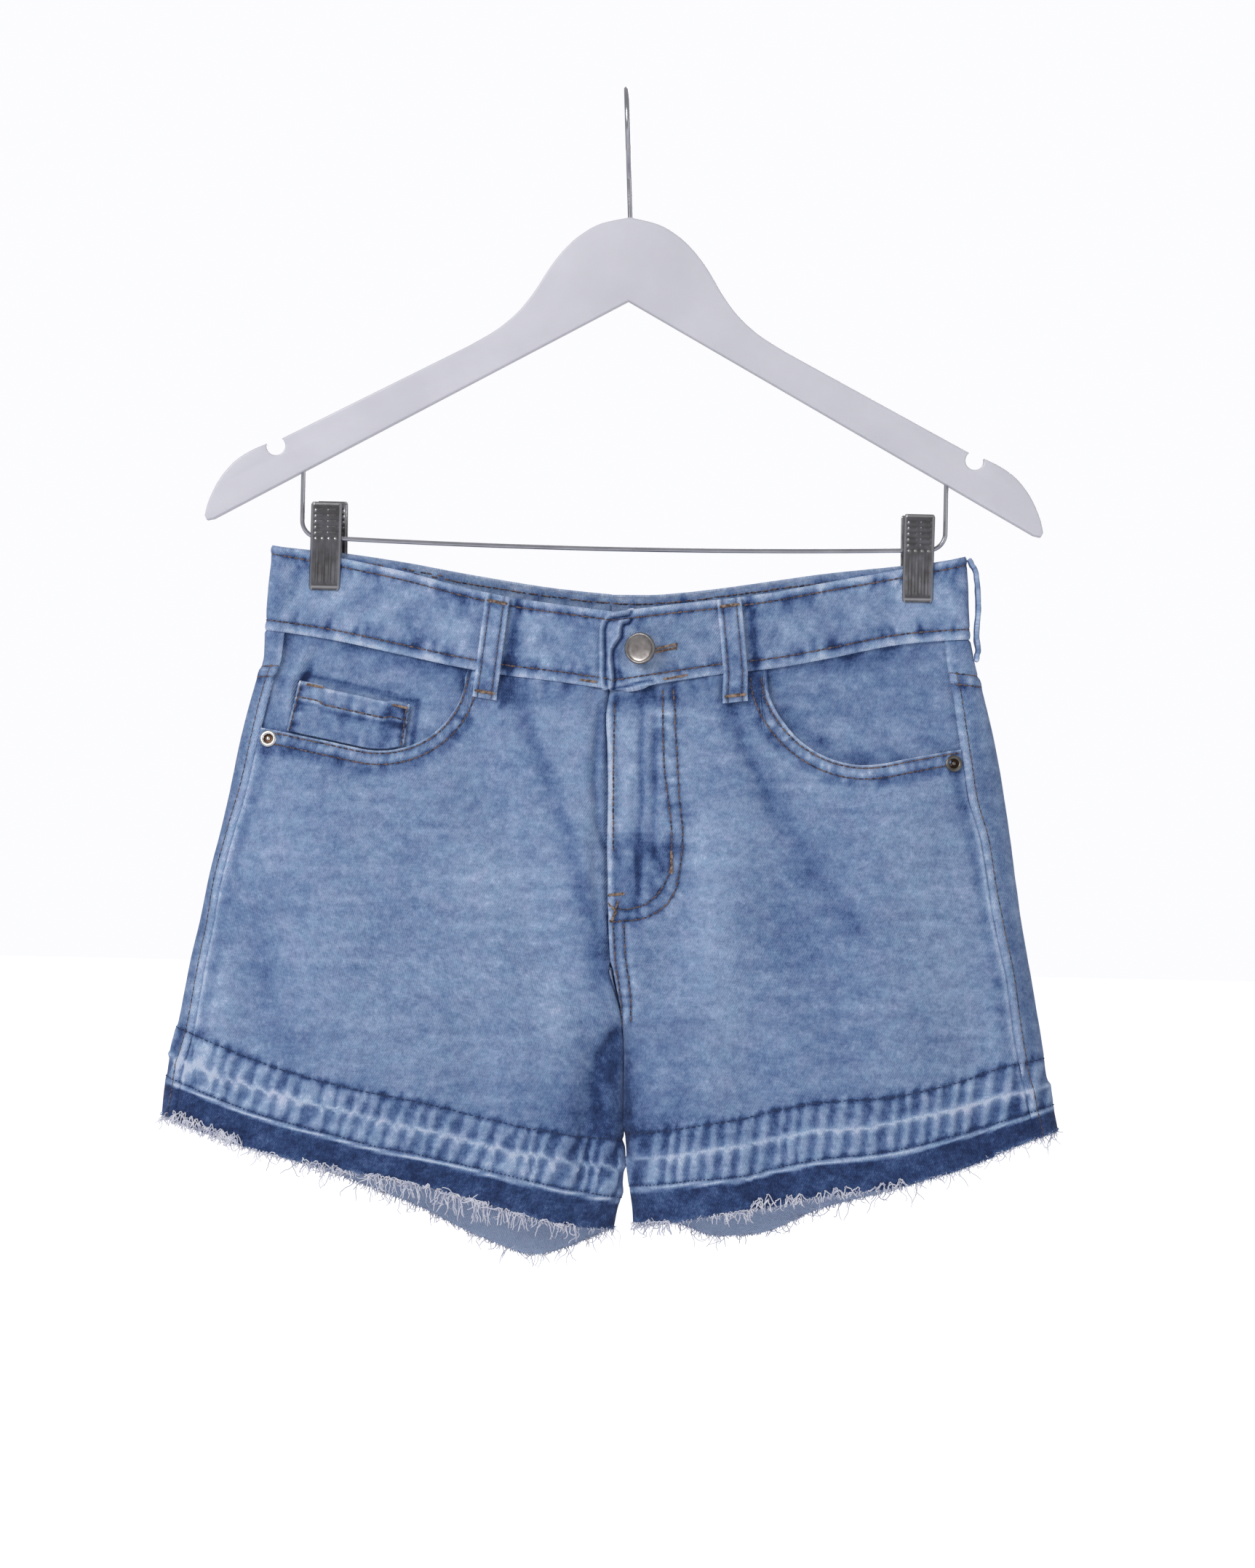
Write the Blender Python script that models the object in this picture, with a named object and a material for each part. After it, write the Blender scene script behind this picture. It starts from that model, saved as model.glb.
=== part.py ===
"""Denim shorts clamped by the waistband to a wooden clip hanger.

Frame: +Z up, the fly faces -Y, and the origin is under the top of the hook, where a rail bears on it.
Left and right are the wearer's, so the left half of the shorts lies at +X.
Tables and driving sizes are in millimetres, and MM turns them into Blender's metres.
"""

import math
import random
from collections import namedtuple

import bmesh
import bpy
from mathutils import Matrix, Vector

MM = 0.001

# Cloth
WALL = 1.3  # one layer of denim
BAND_WALL = 2.6  # the waistband: two layers and the seam allowance between them
BAND_HEIGHT = 42.0
GAP = 0.3  # what neighbouring pieces keep between them
SEAM_HALF = 0.22  # half of the gap along a side seam, whose facets don't quite follow each other
FLY_END = 0.43  # lower end of the fly, as a share of the way from waist seam to hem
FLY_WIDTH = 40.0
FLY_TOP_WIDTH = 34.0
BAND_LAP = 6.0  # how far the buttoned end of the waistband runs past the centre
BAND_UNDERLAP = 20.0
LOOP_WIDTH = 13.0
LOOP_WALL = 1.9
LOOP_END = 0.05  # where a belt loop ends below the waist seam, as a share of the way to the hem
POCKET_UNDER = WALL + 4 * GAP  # from a front panel's outer face to the pocket facing's
PATCH_OUT = WALL + 4 * GAP  # outer face of a piece sewn on a panel, above the panel's

# Where the two clips nip the waistband, and how the band lies there
NIP = 2.9  # from the middle plane to the band's outer face, under a clip
FOLD_HALF = 5.0  # the same at the side fold, which springs open a little
NIP_ACROSS = 0.85  # the clips' place between the centre, 0, and the side fold, 1
NIP_FLAT = 0.06  # how far the nipped flat reaches towards the centre from there
NIP_REACH = 0.35  # share of the way to the hem over which the nip fades out
FOLD_POWER = 75.0  # roundness of the side fold at the waist
BODY_POWER = 3.6  # the same lower down, where the cloth hangs open

# Buttons and rivets
BUTTON_RADIUS = 8.5
BUTTON_TURN = 20.0  # degrees that the buttonhole's pull turns it towards the right half
RIVET_RADIUS = 4.7

# Hanger
HANGER_X = 3.4
HANGER_DEPTH = 12.0
HANGER_EDGE = 2.2
ARM_TIP = (221.5, -232.6)
ARM_CROTCH_Z = -111.5  # under the middle of the hanger
NOTCH = (185.6, -192.6)
NOTCH_RADIUS = 5.0
WIRE_RADIUS = 1.3
HOOK_RADIUS = 18.6  # to the middle of the wire
HOOK_FOOT_Z = -66.9
BAR_RADIUS = 1.2
BAR_Z = -240.6
BAR_SAG = 2.9
BAR_HALF = 171.0
BAR_BEND = 9.0
CLIP_WIDTH = 16.4
CLIP_WALL = 1.2
CLIP_TOP_Z = -222.0
CLIP_FOOT_Z = -268.6

# Waist and hem, from the centre (0) to the side fold (1). Heights in mm below the origin:
# band top in front, band top behind, waist seam in front, raw hem in front; and how far the hem
# behind hangs below the one in front.
Across = namedtuple("Across", "across top_left top_right back_left back_right "
                              "seam_left seam_right hem_left hem_right droop_left droop_right")
ACROSS = [
    Across(0.00, -277.3, -277.0, -267.2, -267.0, -319.5, -318.5, -602.0, -604.7, 0.0, 0.0),
    Across(0.10, -274.6, -274.9, -267.0, -265.6, -316.2, -316.2, -599.8, -603.3, 3.0, 13.0),
    Across(0.20, -271.9, -272.8, -265.4, -263.8, -312.8, -314.1, -595.5, -598.0, 14.0, 23.0),
    Across(0.30, -269.5, -270.4, -263.0, -261.4, -309.5, -312.3, -591.8, -591.0, 16.0, 21.0),
    Across(0.45, -265.1, -264.9, -258.6, -257.4, -305.7, -308.0, -584.2, -582.0, 9.0, 13.0),
    Across(0.60, -259.2, -258.2, -254.2, -253.0, -300.0, -302.6, -579.4, -575.8, 4.0, 6.0),
    Across(0.80, -251.7, -251.2, -249.6, -248.4, -291.7, -295.5, -566.0, -565.6, 1.0, 1.0),
    Across(0.90, -247.8, -248.0, -247.2, -247.0, -289.4, -292.8, -555.8, -557.5, 0.0, 0.0),
    Across(1.00, -243.6, -245.3, -243.6, -245.3, -288.0, -290.8, -547.7, -549.2, 0.0, 0.0),
]

# The halves from the waist seam (0) to the raw hem (1), in mm: side fold, inner edge (the centre
# line, then the inseam), how far in front of the fold the side seam lies, and half the depth of the
# hollow before and behind the middle plane. Closing goes from 0, a half open to the other, to 1, a
# leg closed at its inseam.
Down = namedtuple("Down", "down fold_left fold_right inner_left inner_right "
                          "seam_left seam_right front back closing")
DOWN = [
    Down(0.00, 188.6, 186.2, -2.1, -2.5, 13.6, 10.5, 12.0, 18.0, 0.0),
    Down(0.05, 191.6, 186.4, -3.9, -4.3, 14.8, 9.5, 13.0, 19.5, 0.0),
    Down(0.10, 195.6, 190.0, -3.0, -3.4, 16.0, 9.0, 14.0, 21.0, 0.0),
    Down(0.20, 202.6, 196.5, -2.0, -2.6, 18.6, 9.4, 17.0, 24.0, 0.0),
    Down(0.30, 208.0, 201.3, -1.8, -2.6, 19.4, 9.0, 19.0, 26.0, 0.0),
    Down(0.40, 212.1, 206.8, -0.8, -1.6, 16.0, 7.4, 20.5, 27.0, 0.0),
    Down(0.50, 215.8, 213.0, 1.3, 0.3, 15.0, 7.0, 21.0, 27.5, 0.22),
    Down(0.60, 220.4, 217.8, 7.5, 6.5, 14.0, 8.0, 21.0, 27.0, 0.75),
    Down(0.67, 223.9, 221.7, 9.9, 9.0, 13.2, 8.4, 21.0, 26.0, 1.0),
    Down(0.80, 230.3, 227.6, 10.4, 9.2, 14.0, 9.0, 20.0, 24.5, 1.0),
    Down(0.90, 235.5, 233.4, 13.0, 10.8, 13.4, 8.8, 19.5, 23.5, 1.0),
    Down(1.00, 241.3, 236.0, 16.0, 6.2, 12.4, 7.2, 19.0, 23.0, 1.0),
]

# Mouths of the front pockets: where one leaves the waist seam, how far across it curves, and how
# deep it lies below the seam, all as shares.
Mouth = namedtuple("Mouth", "start reach depth")
MOUTHS = {"left": Mouth(0.428, 0.30, 0.215), "right": Mouth(0.413, 0.27, 0.194)}

# Large soft folds: the half and face they lie on, their two ends (across, down), and in mm the
# half-width and the height, which is negative for a trough.
Crease = namedtuple("Crease", "half face across down to_across to_down width height")
CREASES = [
    Crease("right", -1, 0.10, 0.20, 0.03, 0.42, 9.0, 3.0),
    Crease("right", -1, 0.42, 0.05, 0.10, 0.62, 17.0, -3.0),
    Crease("right", -1, 0.07, 0.66, 0.09, 0.95, 7.0, -4.0),
    Crease("right", -1, 0.78, 0.22, 0.62, 0.80, 24.0, 3.5),
    Crease("right", -1, 0.32, 0.60, 0.36, 1.00, 16.0, -3.0),
    Crease("right", -1, 0.86, 0.55, 0.80, 1.00, 13.0, -3.0),
    Crease("left", -1, 0.22, 0.28, 0.12, 0.60, 12.0, -3.0),
    Crease("left", -1, 0.36, 0.05, 0.26, 0.62, 19.0, 3.0),
    Crease("left", -1, 0.72, 0.25, 0.60, 0.85, 24.0, 3.5),
    Crease("left", -1, 0.30, 0.62, 0.34, 1.00, 15.0, -3.5),
    Crease("left", -1, 0.86, 0.55, 0.82, 1.00, 13.0, -3.0),
    Crease("right", 1, 0.60, 0.05, 0.30, 0.62, 22.0, 4.0),
    Crease("right", 1, 0.16, 0.60, 0.20, 1.00, 20.0, 4.0),
    Crease("right", 1, 0.48, 0.78, 0.50, 1.00, 18.0, -4.0),
    Crease("left", 1, 0.60, 0.05, 0.30, 0.62, 22.0, 4.0),
    Crease("left", 1, 0.22, 0.60, 0.26, 1.00, 20.0, 4.0),
    Crease("left", 1, 0.52, 0.78, 0.54, 1.00, 18.0, -4.0),
]

YOKE_SIDE = 0.075  # lower edge of the yokes at the side fold, as a share of the way down
YOKE_CENTRE = 0.215  # the same at the centre back
BACK_POCKET_WIDTH = 128.0
BACK_POCKET_HEIGHT = 122.0
BACK_POCKET_POINT = 18.0
BACK_POCKET_TAPER = 0.9  # width above the point, as a share of the mouth's
BACK_POCKET_ACROSS = 0.50
BACK_POCKET_DOWN = 0.25
STRANDS = 40  # threads drawn in each frayed hem
STRAND_GIRTH = 0.006  # a strand's width at its root, in girth
STRAND_LENGTH = 9.0
FRINGE_STRIP = 1.2
FRINGE_GAP = 0.9  # the strip's own distance below the raw edge, whose facets it has to clear

# Finishes: base colour, roughness, metallic
FINISHES = {
    "denim": ((0.24, 0.32, 0.49, 1.0), 0.85, 0.0),
    "cotton_thread": ((0.78, 0.80, 0.86, 1.0), 0.9, 0.0),
    "brushed_nickel": ((0.50, 0.48, 0.46, 1.0), 0.32, 1.0),
    "aged_brass": ((0.25, 0.23, 0.20, 1.0), 0.38, 1.0),
    "nickel": ((0.62, 0.60, 0.58, 1.0), 0.25, 1.0),
    "dark_steel": ((0.20, 0.20, 0.22, 1.0), 0.35, 1.0),
    "steel_wire": ((0.55, 0.56, 0.60, 1.0), 0.25, 1.0),
    "painted_wood": ((0.74, 0.74, 0.80, 1.0), 0.35, 0.0),
}

HALVES = {"left": 1, "right": -1}


def clear_scene():
    for obj in list(bpy.data.objects):
        bpy.data.objects.remove(obj)


def finish(name):
    """The named material, made the first time that it is asked for."""
    if name in bpy.data.materials:
        return bpy.data.materials[name]
    colour, roughness, metallic = FINISHES[name]
    material = bpy.data.materials.new(name)
    material.use_nodes = True
    shader = material.node_tree.nodes["Principled BSDF"]
    shader.inputs["Base Color"].default_value = colour
    shader.inputs["Roughness"].default_value = roughness
    shader.inputs["Metallic"].default_value = metallic
    return material


def node_from(name, bm, material):
    """A named object from a bmesh whose points are in millimetres."""
    bmesh.ops.scale(bm, vec=Vector((MM, MM, MM)), verts=bm.verts)
    mesh = bpy.data.meshes.new(name)
    bm.to_mesh(mesh)
    bm.free()
    mesh.shade_smooth()
    mesh.set_sharp_from_angle(angle=math.radians(40))
    mesh.materials.append(finish(material))
    obj = bpy.data.objects.new(name, mesh)
    bpy.context.scene.collection.objects.link(obj)
    return obj


def smooth(x):
    x = min(1.0, max(0.0, x))
    return x * x * (3 - 2 * x)


def mix(a, b, share):
    return a + (b - a) * share


def steepness(table, column, i):
    """A column's slope at row i: the mean of the slopes on either side, or 0 where it turns."""
    rows = table[max(0, i - 1):i + 2]
    slopes = [(getattr(b, column) - getattr(a, column)) / (b[0] - a[0]) for a, b in zip(rows, rows[1:])]
    if slopes[0] * slopes[-1] <= 0:
        return 0.0
    return 2 / (1 / slopes[0] + 1 / slopes[-1])


def read(table, column, where):
    """A column's value at a place in the table's first column, on a smooth curve through the rows."""
    where = min(table[-1][0], max(table[0][0], where))
    i = 0
    while i < len(table) - 2 and where > table[i + 1][0]:
        i += 1
    width = table[i + 1][0] - table[i][0]
    s = (where - table[i][0]) / width
    low, high = getattr(table[i], column), getattr(table[i + 1], column)
    leave, arrive = steepness(table, column, i) * width, steepness(table, column, i + 1) * width
    return ((2 * s**3 - 3 * s**2 + 1) * low + (s**3 - 2 * s**2 + s) * leave
            + (3 * s**2 - 2 * s**3) * high + (s**3 - s**2) * arrive)


def across_of(girth):
    """Share of the way from inner edge to side fold, for a girth of -1 (front) to 1 (back)."""
    return math.cos(math.pi * girth / 2) ** 2


def girth_of(across, face):
    """The girth of a place on the front (-1) or back (1) face."""
    return face * 2 / math.pi * math.acos(math.sqrt(min(1.0, max(0.0, across))))


def half_width(half, down):
    """From inner edge to side fold, in mm."""
    return read(DOWN, "fold_" + half, down) - read(DOWN, "inner_" + half, down) * HALVES[half]


def drop(half, across):
    """From waist seam to raw hem in front, in mm."""
    return read(ACROSS, "seam_" + half, across) - read(ACROSS, "hem_" + half, across)


def creased(half, face, across, down):
    """How far the large folds lift the cloth at a place."""
    lift = 0.0
    for c in CREASES:
        if c.half != half or c.face != face or down < c.down - 0.1 or down > c.to_down + 0.1:
            continue
        share = (down - c.down) / (c.to_down - c.down)
        beside = half_width(half, down) * (across - mix(c.across, c.to_across, share)) / c.width
        ends = smooth((share + 0.1) / 0.3) * (smooth((1.1 - share) / 0.3) if c.to_down < 1 else 1)
        lift += c.height * ends * math.exp(-beside * beside)
    return lift * smooth((1 - across) / 0.12)


def half_depth(face, across, down):
    """From the middle plane to the cloth's outer face."""
    open_depth = read(DOWN, "front" if face < 0 else "back", down)
    if across < NIP_ACROSS:
        inside = min(1.0, across / (NIP_ACROSS - NIP_FLAT))
        nipped = mix(NIP, open_depth, math.cos(math.pi / 2 * inside) ** 2)
    else:
        nipped = mix(NIP, FOLD_HALF, smooth((across - NIP_ACROSS - 0.05) / 0.08))
    fade = smooth(down / NIP_REACH)
    power = FOLD_POWER * (BODY_POWER / FOLD_POWER) ** min(1.0, max(0.0, down) / NIP_REACH)
    closing = read(DOWN, "closing", down)
    as_body = max(0.0, 1 - across**power) ** 0.5
    as_leg = max(0.0, 1 - abs(2 * across - 1) ** power) ** 0.5
    return mix(nipped, open_depth, fade) * mix(as_body, as_leg, closing)


def surface(half, girth, down):
    """A point of the outer face, in mm. Down is -1 at the band's top, 0 at the waist seam, 1 at the
    hem. A girth past -1 or 1 carries on over the centre line, on the other half."""
    if abs(girth) > 1:
        half, girth = ("right" if half == "left" else "left"), math.copysign(2, girth) - girth
    across = across_of(girth)
    face = -1 if girth < 0 else 1
    front_top = read(ACROSS, "top_" + half, across)
    rise = read(ACROSS, "back_" + half, across) - front_top if face > 0 else 0.0
    seam = read(ACROSS, "seam_" + half, across) + rise
    if down < 0:
        z = mix(seam, front_top + rise, -down)
    else:
        droop = read(ACROSS, "droop_" + half, across) if face > 0 else 0.0
        z = mix(seam, read(ACROSS, "hem_" + half, across) - droop, down)
    fold = read(DOWN, "fold_" + half, down) - 2.5 * max(0.0, -down)
    inner = read(DOWN, "inner_" + half, down) * HALVES[half]
    x = mix(inner, fold, across)
    y = half_depth(face, across, down)
    y += creased(half, face, across, down) * smooth(y / 6)
    return Vector((HALVES[half] * x, face * y, z))


def cloth(half, girth, down, lift=0.0):
    """A point of the outer face moved out along its normal."""
    here = surface(half, girth, down)
    if lift == 0:
        return here
    step = 0.004
    before, after = girth - step, girth + step
    if read(DOWN, "closing", down) > 0:
        before, after = max(before, -1.0), min(after, 1.0)
    round_it = surface(half, after, down) - surface(half, before, down)
    up_it = surface(half, girth, down - step) - surface(half, girth, down + step)
    return here + lift * HALVES[half] * round_it.cross(up_it).normalized()


def seam_girth(half, down):
    """Where the side seam lies, on the front just before the fold."""
    return girth_of(1 - read(DOWN, "seam_" + half, down) / half_width(half, down), -1)


def seam_gap(half, down, side):
    """The side seam's girth moved by half of a gap, forwards (-1) or backwards (1)."""
    girth = seam_girth(half, down)
    run = (surface(half, girth + 0.01, down) - surface(half, girth - 0.01, down)).length / 0.02
    return girth + side * SEAM_HALF / run


def inseam_gap(down):
    """Half of the gap at the inseam, in girth. Above the crotch the halves' own inner edges keep it."""
    return 0.010 * read(DOWN, "closing", down)


def sheet(name, half, place, columns, rows, wall=WALL, lay=cloth, material="denim"):
    """A wall of cloth with its outer face on the places that place(u, v) gives as (half, girth,
    down, lift). u runs round from front to back and v upwards, and lay turns a place into a point."""
    bm = bmesh.new()
    bmesh.ops.create_grid(bm, x_segments=columns, y_segments=rows, size=0.5)
    inner = bmesh.ops.duplicate(bm, geom=bm.verts[:] + bm.edges[:] + bm.faces[:])["geom"]
    bmesh.ops.reverse_faces(bm, faces=[f for f in inner if isinstance(f, bmesh.types.BMFace)])
    behind = [v for v in inner if isinstance(v, bmesh.types.BMVert)]
    bmesh.ops.translate(bm, vec=(0, 0, -0.01), verts=behind)
    bmesh.ops.bridge_loops(bm, edges=[e for e in bm.edges if e.is_boundary])
    for vert in bm.verts:
        u = vert.co.x + 0.5 if half == "left" else 0.5 - vert.co.x
        side, girth, down, lift = place(u, vert.co.y + 0.5)
        vert.co = lay(side, girth, down, lift - (wall if vert.co.z < 0 else 0.0))
    return node_from(name, bm, material)


def down_gap(half, across):
    """Half of a gap, as a share of the way from waist seam to hem."""
    return GAP / 2 / drop(half, across)


def mouth_down(half, across):
    """How far down a front pocket's mouth lies, 0 before it starts."""
    mouth = MOUTHS[half]
    share = min(1.0, max(0.0, (across - mouth.start) / mouth.reach))
    return mouth.depth * math.sqrt(1 - (1 - share) ** 2)


def front(half):
    """A front panel: its top follows the waist seam and then the pocket mouth."""
    mouth = MOUTHS[half]
    columns = 20
    straight, curved = 8, 6

    def top_across(u):
        step = u * columns
        if step <= straight:
            return mouth.start * step / straight
        if step <= straight + curved:
            return mouth.start + mouth.reach * (1 - math.cos(math.pi / 2 * (step - straight) / curved))
        rest = (step - straight - curved) / (columns - straight - curved)
        return mix(mouth.start + mouth.reach, 1.0, rest)

    def place(u, v):
        at_top = min(top_across(u), across_of(seam_girth(half, mouth.depth)))
        top = max(mouth_down(half, at_top), down_gap(half, at_top))
        down = mix(1.0, top, v)
        end = seam_gap(half, down, -1)
        at_hem = across_of(mix(-1.0, end, u))
        reach = across_of(end) / across_of(seam_girth(half, mouth.depth))
        if u > 0.999:
            return half, end, down, 0.0
        across = mix(at_hem, at_top * reach, v)
        return half, max(girth_of(across, -1), -1 + inseam_gap(down)), down, 0.0

    sheet("front_" + half, half, place, columns, 17)


def pocket_facing(half):
    """The cloth seen inside a front pocket's mouth, sewn in under the front panel."""
    mouth = MOUTHS[half]
    under = 0.06
    first = mouth.start - under

    def place(u, v):
        across = mix(first, across_of(seam_girth(half, 0.1)), u)
        foot = mouth_down(half, across + under) + 0.045
        down = mix(foot, down_gap(half, across), v)
        girth = girth_of(across, -1) if u < 0.999 else seam_gap(half, down, -1)
        return half, girth, down, -POCKET_UNDER

    sheet("pocket_facing_" + half, half, place, 14, 5)


def coin_pocket():
    """The small patch on the right facing. Its lower end runs to the mouth of the front pocket."""
    first, last, top = 0.5625, 0.882, 0.09

    def place(u, v):
        across = mix(first, last, u)
        down = mix(mouth_down("right", across) - 0.004, top, v)
        return "right", girth_of(across, -1), down, -GAP

    sheet("coin_pocket", "right", place, 8, 3, wall=WALL - GAP)


def yoke_down(girth):
    """Lower edge of a yoke: it falls from the side seam to the centre back."""
    away = (1 - across_of(girth)) * (1 if girth > 0 else -1)
    return mix(YOKE_SIDE, YOKE_CENTRE, away)


def wrap_girth(half, down, u):
    """From the side seam (0) round the fold to the centre back or inseam (1)."""
    start = seam_gap(half, down, 1)
    return mix(start, 1 - inseam_gap(down), mix(u, u * u, 0.35))


def yoke(half):
    def place(u, v):
        middle = wrap_girth(half, 0.1, u)
        across = across_of(middle)
        down = mix(yoke_down(middle) - down_gap(half, across), down_gap(half, across), v)
        return half, wrap_girth(half, down, u), down, 0.0

    sheet("yoke_" + half, half, place, 18, 3)


def back(half):
    """A back panel, from the yoke to the hem. It comes round the side fold to meet the front."""
    def place(u, v):
        middle = wrap_girth(half, 0.1, u)
        top = yoke_down(middle) + down_gap(half, across_of(middle))
        down = mix(1.0, top, v)
        return half, wrap_girth(half, down, u), down, 0.0

    sheet("back_" + half, half, place, 22, 15)


def back_pocket(half):
    """A plain five-sided patch pocket."""
    def place(u, v):
        width = BACK_POCKET_WIDTH * mix(BACK_POCKET_TAPER, 1.0, v)
        side = (0.5 - u) * width
        height = BACK_POCKET_HEIGHT + BACK_POCKET_POINT * (1 - abs(side) / (width / 2))
        across = BACK_POCKET_ACROSS + side / half_width(half, BACK_POCKET_DOWN)
        down = BACK_POCKET_DOWN + (1 - v) * height / drop(half, BACK_POCKET_ACROSS)
        return half, girth_of(across, 1), down, PATCH_OUT

    sheet("back_pocket_" + half, half, place, 10, 8)


def fly_placket():
    """The doubled cloth of the fly, over the left front: straight at the centre, J-shaped outside."""
    straight = 0.70  # share of its height before it rounds in to the centre
    rows = 14

    def place(u, v):
        share = 1 - v
        down = mix(down_gap("left", 0.0), FLY_END, share)
        width = mix(FLY_TOP_WIDTH, FLY_WIDTH, min(1.0, share / 0.6))
        if share > straight:
            width *= math.sqrt(1 - 0.985 * ((share - straight) / (1 - straight)) ** 2)
        return "left", girth_of(u * width / half_width("left", down), -1), down, PATCH_OUT

    sheet("fly_placket", "left", place, 6, rows)


def band_lift(half, across):
    """How far the front of the band stands off the plain surface, where its left end laps over."""
    return (BAND_WALL + GAP) * (1 - smooth((across - 0.13) / 0.17)) if half == "left" else 0.0


def waistband(half):
    """Half of the band, from the centre back round the side fold to the front. The left end laps
    over the right one, which carries on under it."""
    lap = BAND_LAP if half == "left" else BAND_UNDERLAP
    start = -2 - girth_of(lap / half_width(half, 0), -1)
    bunching = 1.25  # brings the columns closer together at the side fold

    def place(u, v):
        girth = mix(start, 0.0, 2 * u) if u < 0.5 else (2 * u - 1) ** (bunching * bunching)
        if -1 < girth < 0:
            girth = -abs(girth) ** bunching
        lift = band_lift(half, across_of(max(-1.0, girth))) if girth < 0 else 0.0
        return half, girth, -mix(GAP / BAND_HEIGHT, 1.0, v), lift

    sheet("waistband_" + half, half, place, 40, 3, wall=BAND_WALL)


def loop_arch(share):
    """A belt loop's rise off the cloth, from 0 at its two sewn ends to its middle."""
    return 2 * GAP + 1.1 * math.sin(math.pi * share) ** 0.6


def front_loop(half, across, across_low, end):
    """Sewn on in front, leaning a little, from the band's top edge to just below the waist seam."""
    def place(u, v):
        middle = mix(across_low, across, v)
        girth = girth_of(middle + (u - 0.5) * LOOP_WIDTH / half_width(half, 0), -1)
        return half, girth, mix(end, -1.0, v), LOOP_WALL + loop_arch(v) + band_lift(half, middle - 0.03)

    sheet("belt_loop_front_" + half, half, place, 2, 12, wall=LOOP_WALL)


def side_loop_right():
    """Sewn behind the right side fold, flat on the band."""
    def place(u, v):
        girth = girth_of(0.925 - (u - 0.5) * LOOP_WIDTH / half_width("right", 0), 1)
        return "right", girth, mix(LOOP_END, -1.0, v), LOOP_WALL + loop_arch(v)

    sheet("belt_loop_side_right", "right", place, 2, 12, wall=LOOP_WALL)


def side_loop_left():
    """Sewn on the left side fold itself, so it stands out sideways and bows off the band."""
    Bow = namedtuple("Bow", "share x z")
    bows = [Bow(0.0, 192.4, -299.5), Bow(0.10, 193.4, -294.0), Bow(0.25, 192.3, -286.5),
            Bow(0.5, 192.9, -272.6), Bow(0.82, 191.6, -253.5), Bow(1.0, 187.6, -244.5)]

    def place(u, v):
        return "left", u, v, LOOP_WALL / 2

    def lay(half, across, share, lift):
        return Vector((read(bows, "x", share) + lift, mix(-4.5, 8.5, across), read(bows, "z", share)))

    sheet("belt_loop_side_left", "left", place, 2, 12, wall=LOOP_WALL, lay=lay)


def centre_loop():
    """Over the seam at the centre back."""
    def place(u, v):
        side = (u - 0.5) * LOOP_WIDTH
        half = "left" if side < 0 else "right"
        girth = girth_of(abs(side) / half_width(half, 0), 1)
        return half, girth, mix(LOOP_END, -1.0, v), LOOP_WALL + loop_arch(v)

    sheet("belt_loop_back", "left", place, 2, 12, wall=LOOP_WALL)


def spun(name, profile, centre, outwards, material, steps=20):
    """A turned piece: profile rows are (radius, height), its axis runs outwards from centre."""
    bm = bmesh.new()
    verts = [bm.verts.new((radius, 0.0, height)) for radius, height in profile]
    edges = [bm.edges.new(pair) for pair in zip(verts, verts[1:])]
    bmesh.ops.spin(bm, geom=verts + edges, axis=(0, 0, 1), cent=(0, 0, 0),
                   angle=math.tau, steps=steps, use_merge=True)
    bmesh.ops.remove_doubles(bm, verts=bm.verts, dist=0.001)
    bmesh.ops.recalc_face_normals(bm, faces=bm.faces)
    turn = Vector((0, 0, 1)).rotation_difference(outwards).to_matrix()
    bmesh.ops.rotate(bm, matrix=turn, verts=bm.verts)
    bmesh.ops.translate(bm, vec=centre, verts=bm.verts)
    return node_from(name, bm, material)


def normal_at(half, across, down):
    girth = girth_of(across, -1)
    return cloth(half, girth, down, 1.0) - cloth(half, girth, down)


def button():
    """A dished metal shank button through both ends of the band."""
    across, down = 0.083, -0.485
    rim, shank = BUTTON_RADIUS, 2.6
    turn = math.radians(BUTTON_TURN)
    stand = rim * math.sin(turn)  # height at which the turned rim clears the cloth
    profile = [(0.0, -stand), (shank, -stand), (shank, 0.0), (rim - 1.6, 0.0), (rim - 0.4, 0.8),
               (rim, 1.9), (rim - 0.5, 2.9), (rim - 1.5, 3.1), (rim - 2.4, 2.5), (0.0, 2.3)]
    centre = cloth("left", girth_of(across, -1), down, BAND_WALL + 3 * GAP + stand + shank * math.sin(turn))
    outwards = Matrix.Rotation(-turn, 3, "Z") @ normal_at("left", across, down)
    spun("button", profile, centre, outwards, "brushed_nickel", steps=28)


def rivet(half, across, down, material):
    """A small capped rivet at the outer end of a pocket mouth."""
    rim = RIVET_RADIUS
    profile = [(0.0, 0.0), (rim, 0.0), (rim, 0.5), (rim - 0.8, 1.0), (2.6, 0.8), (2.0, 1.5), (0.0, 1.8)]
    centre = cloth(half, girth_of(across, -1), down, GAP + 0.1)
    spun("rivet_" + half, profile, centre, normal_at(half, across, down), material, steps=16)


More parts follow.
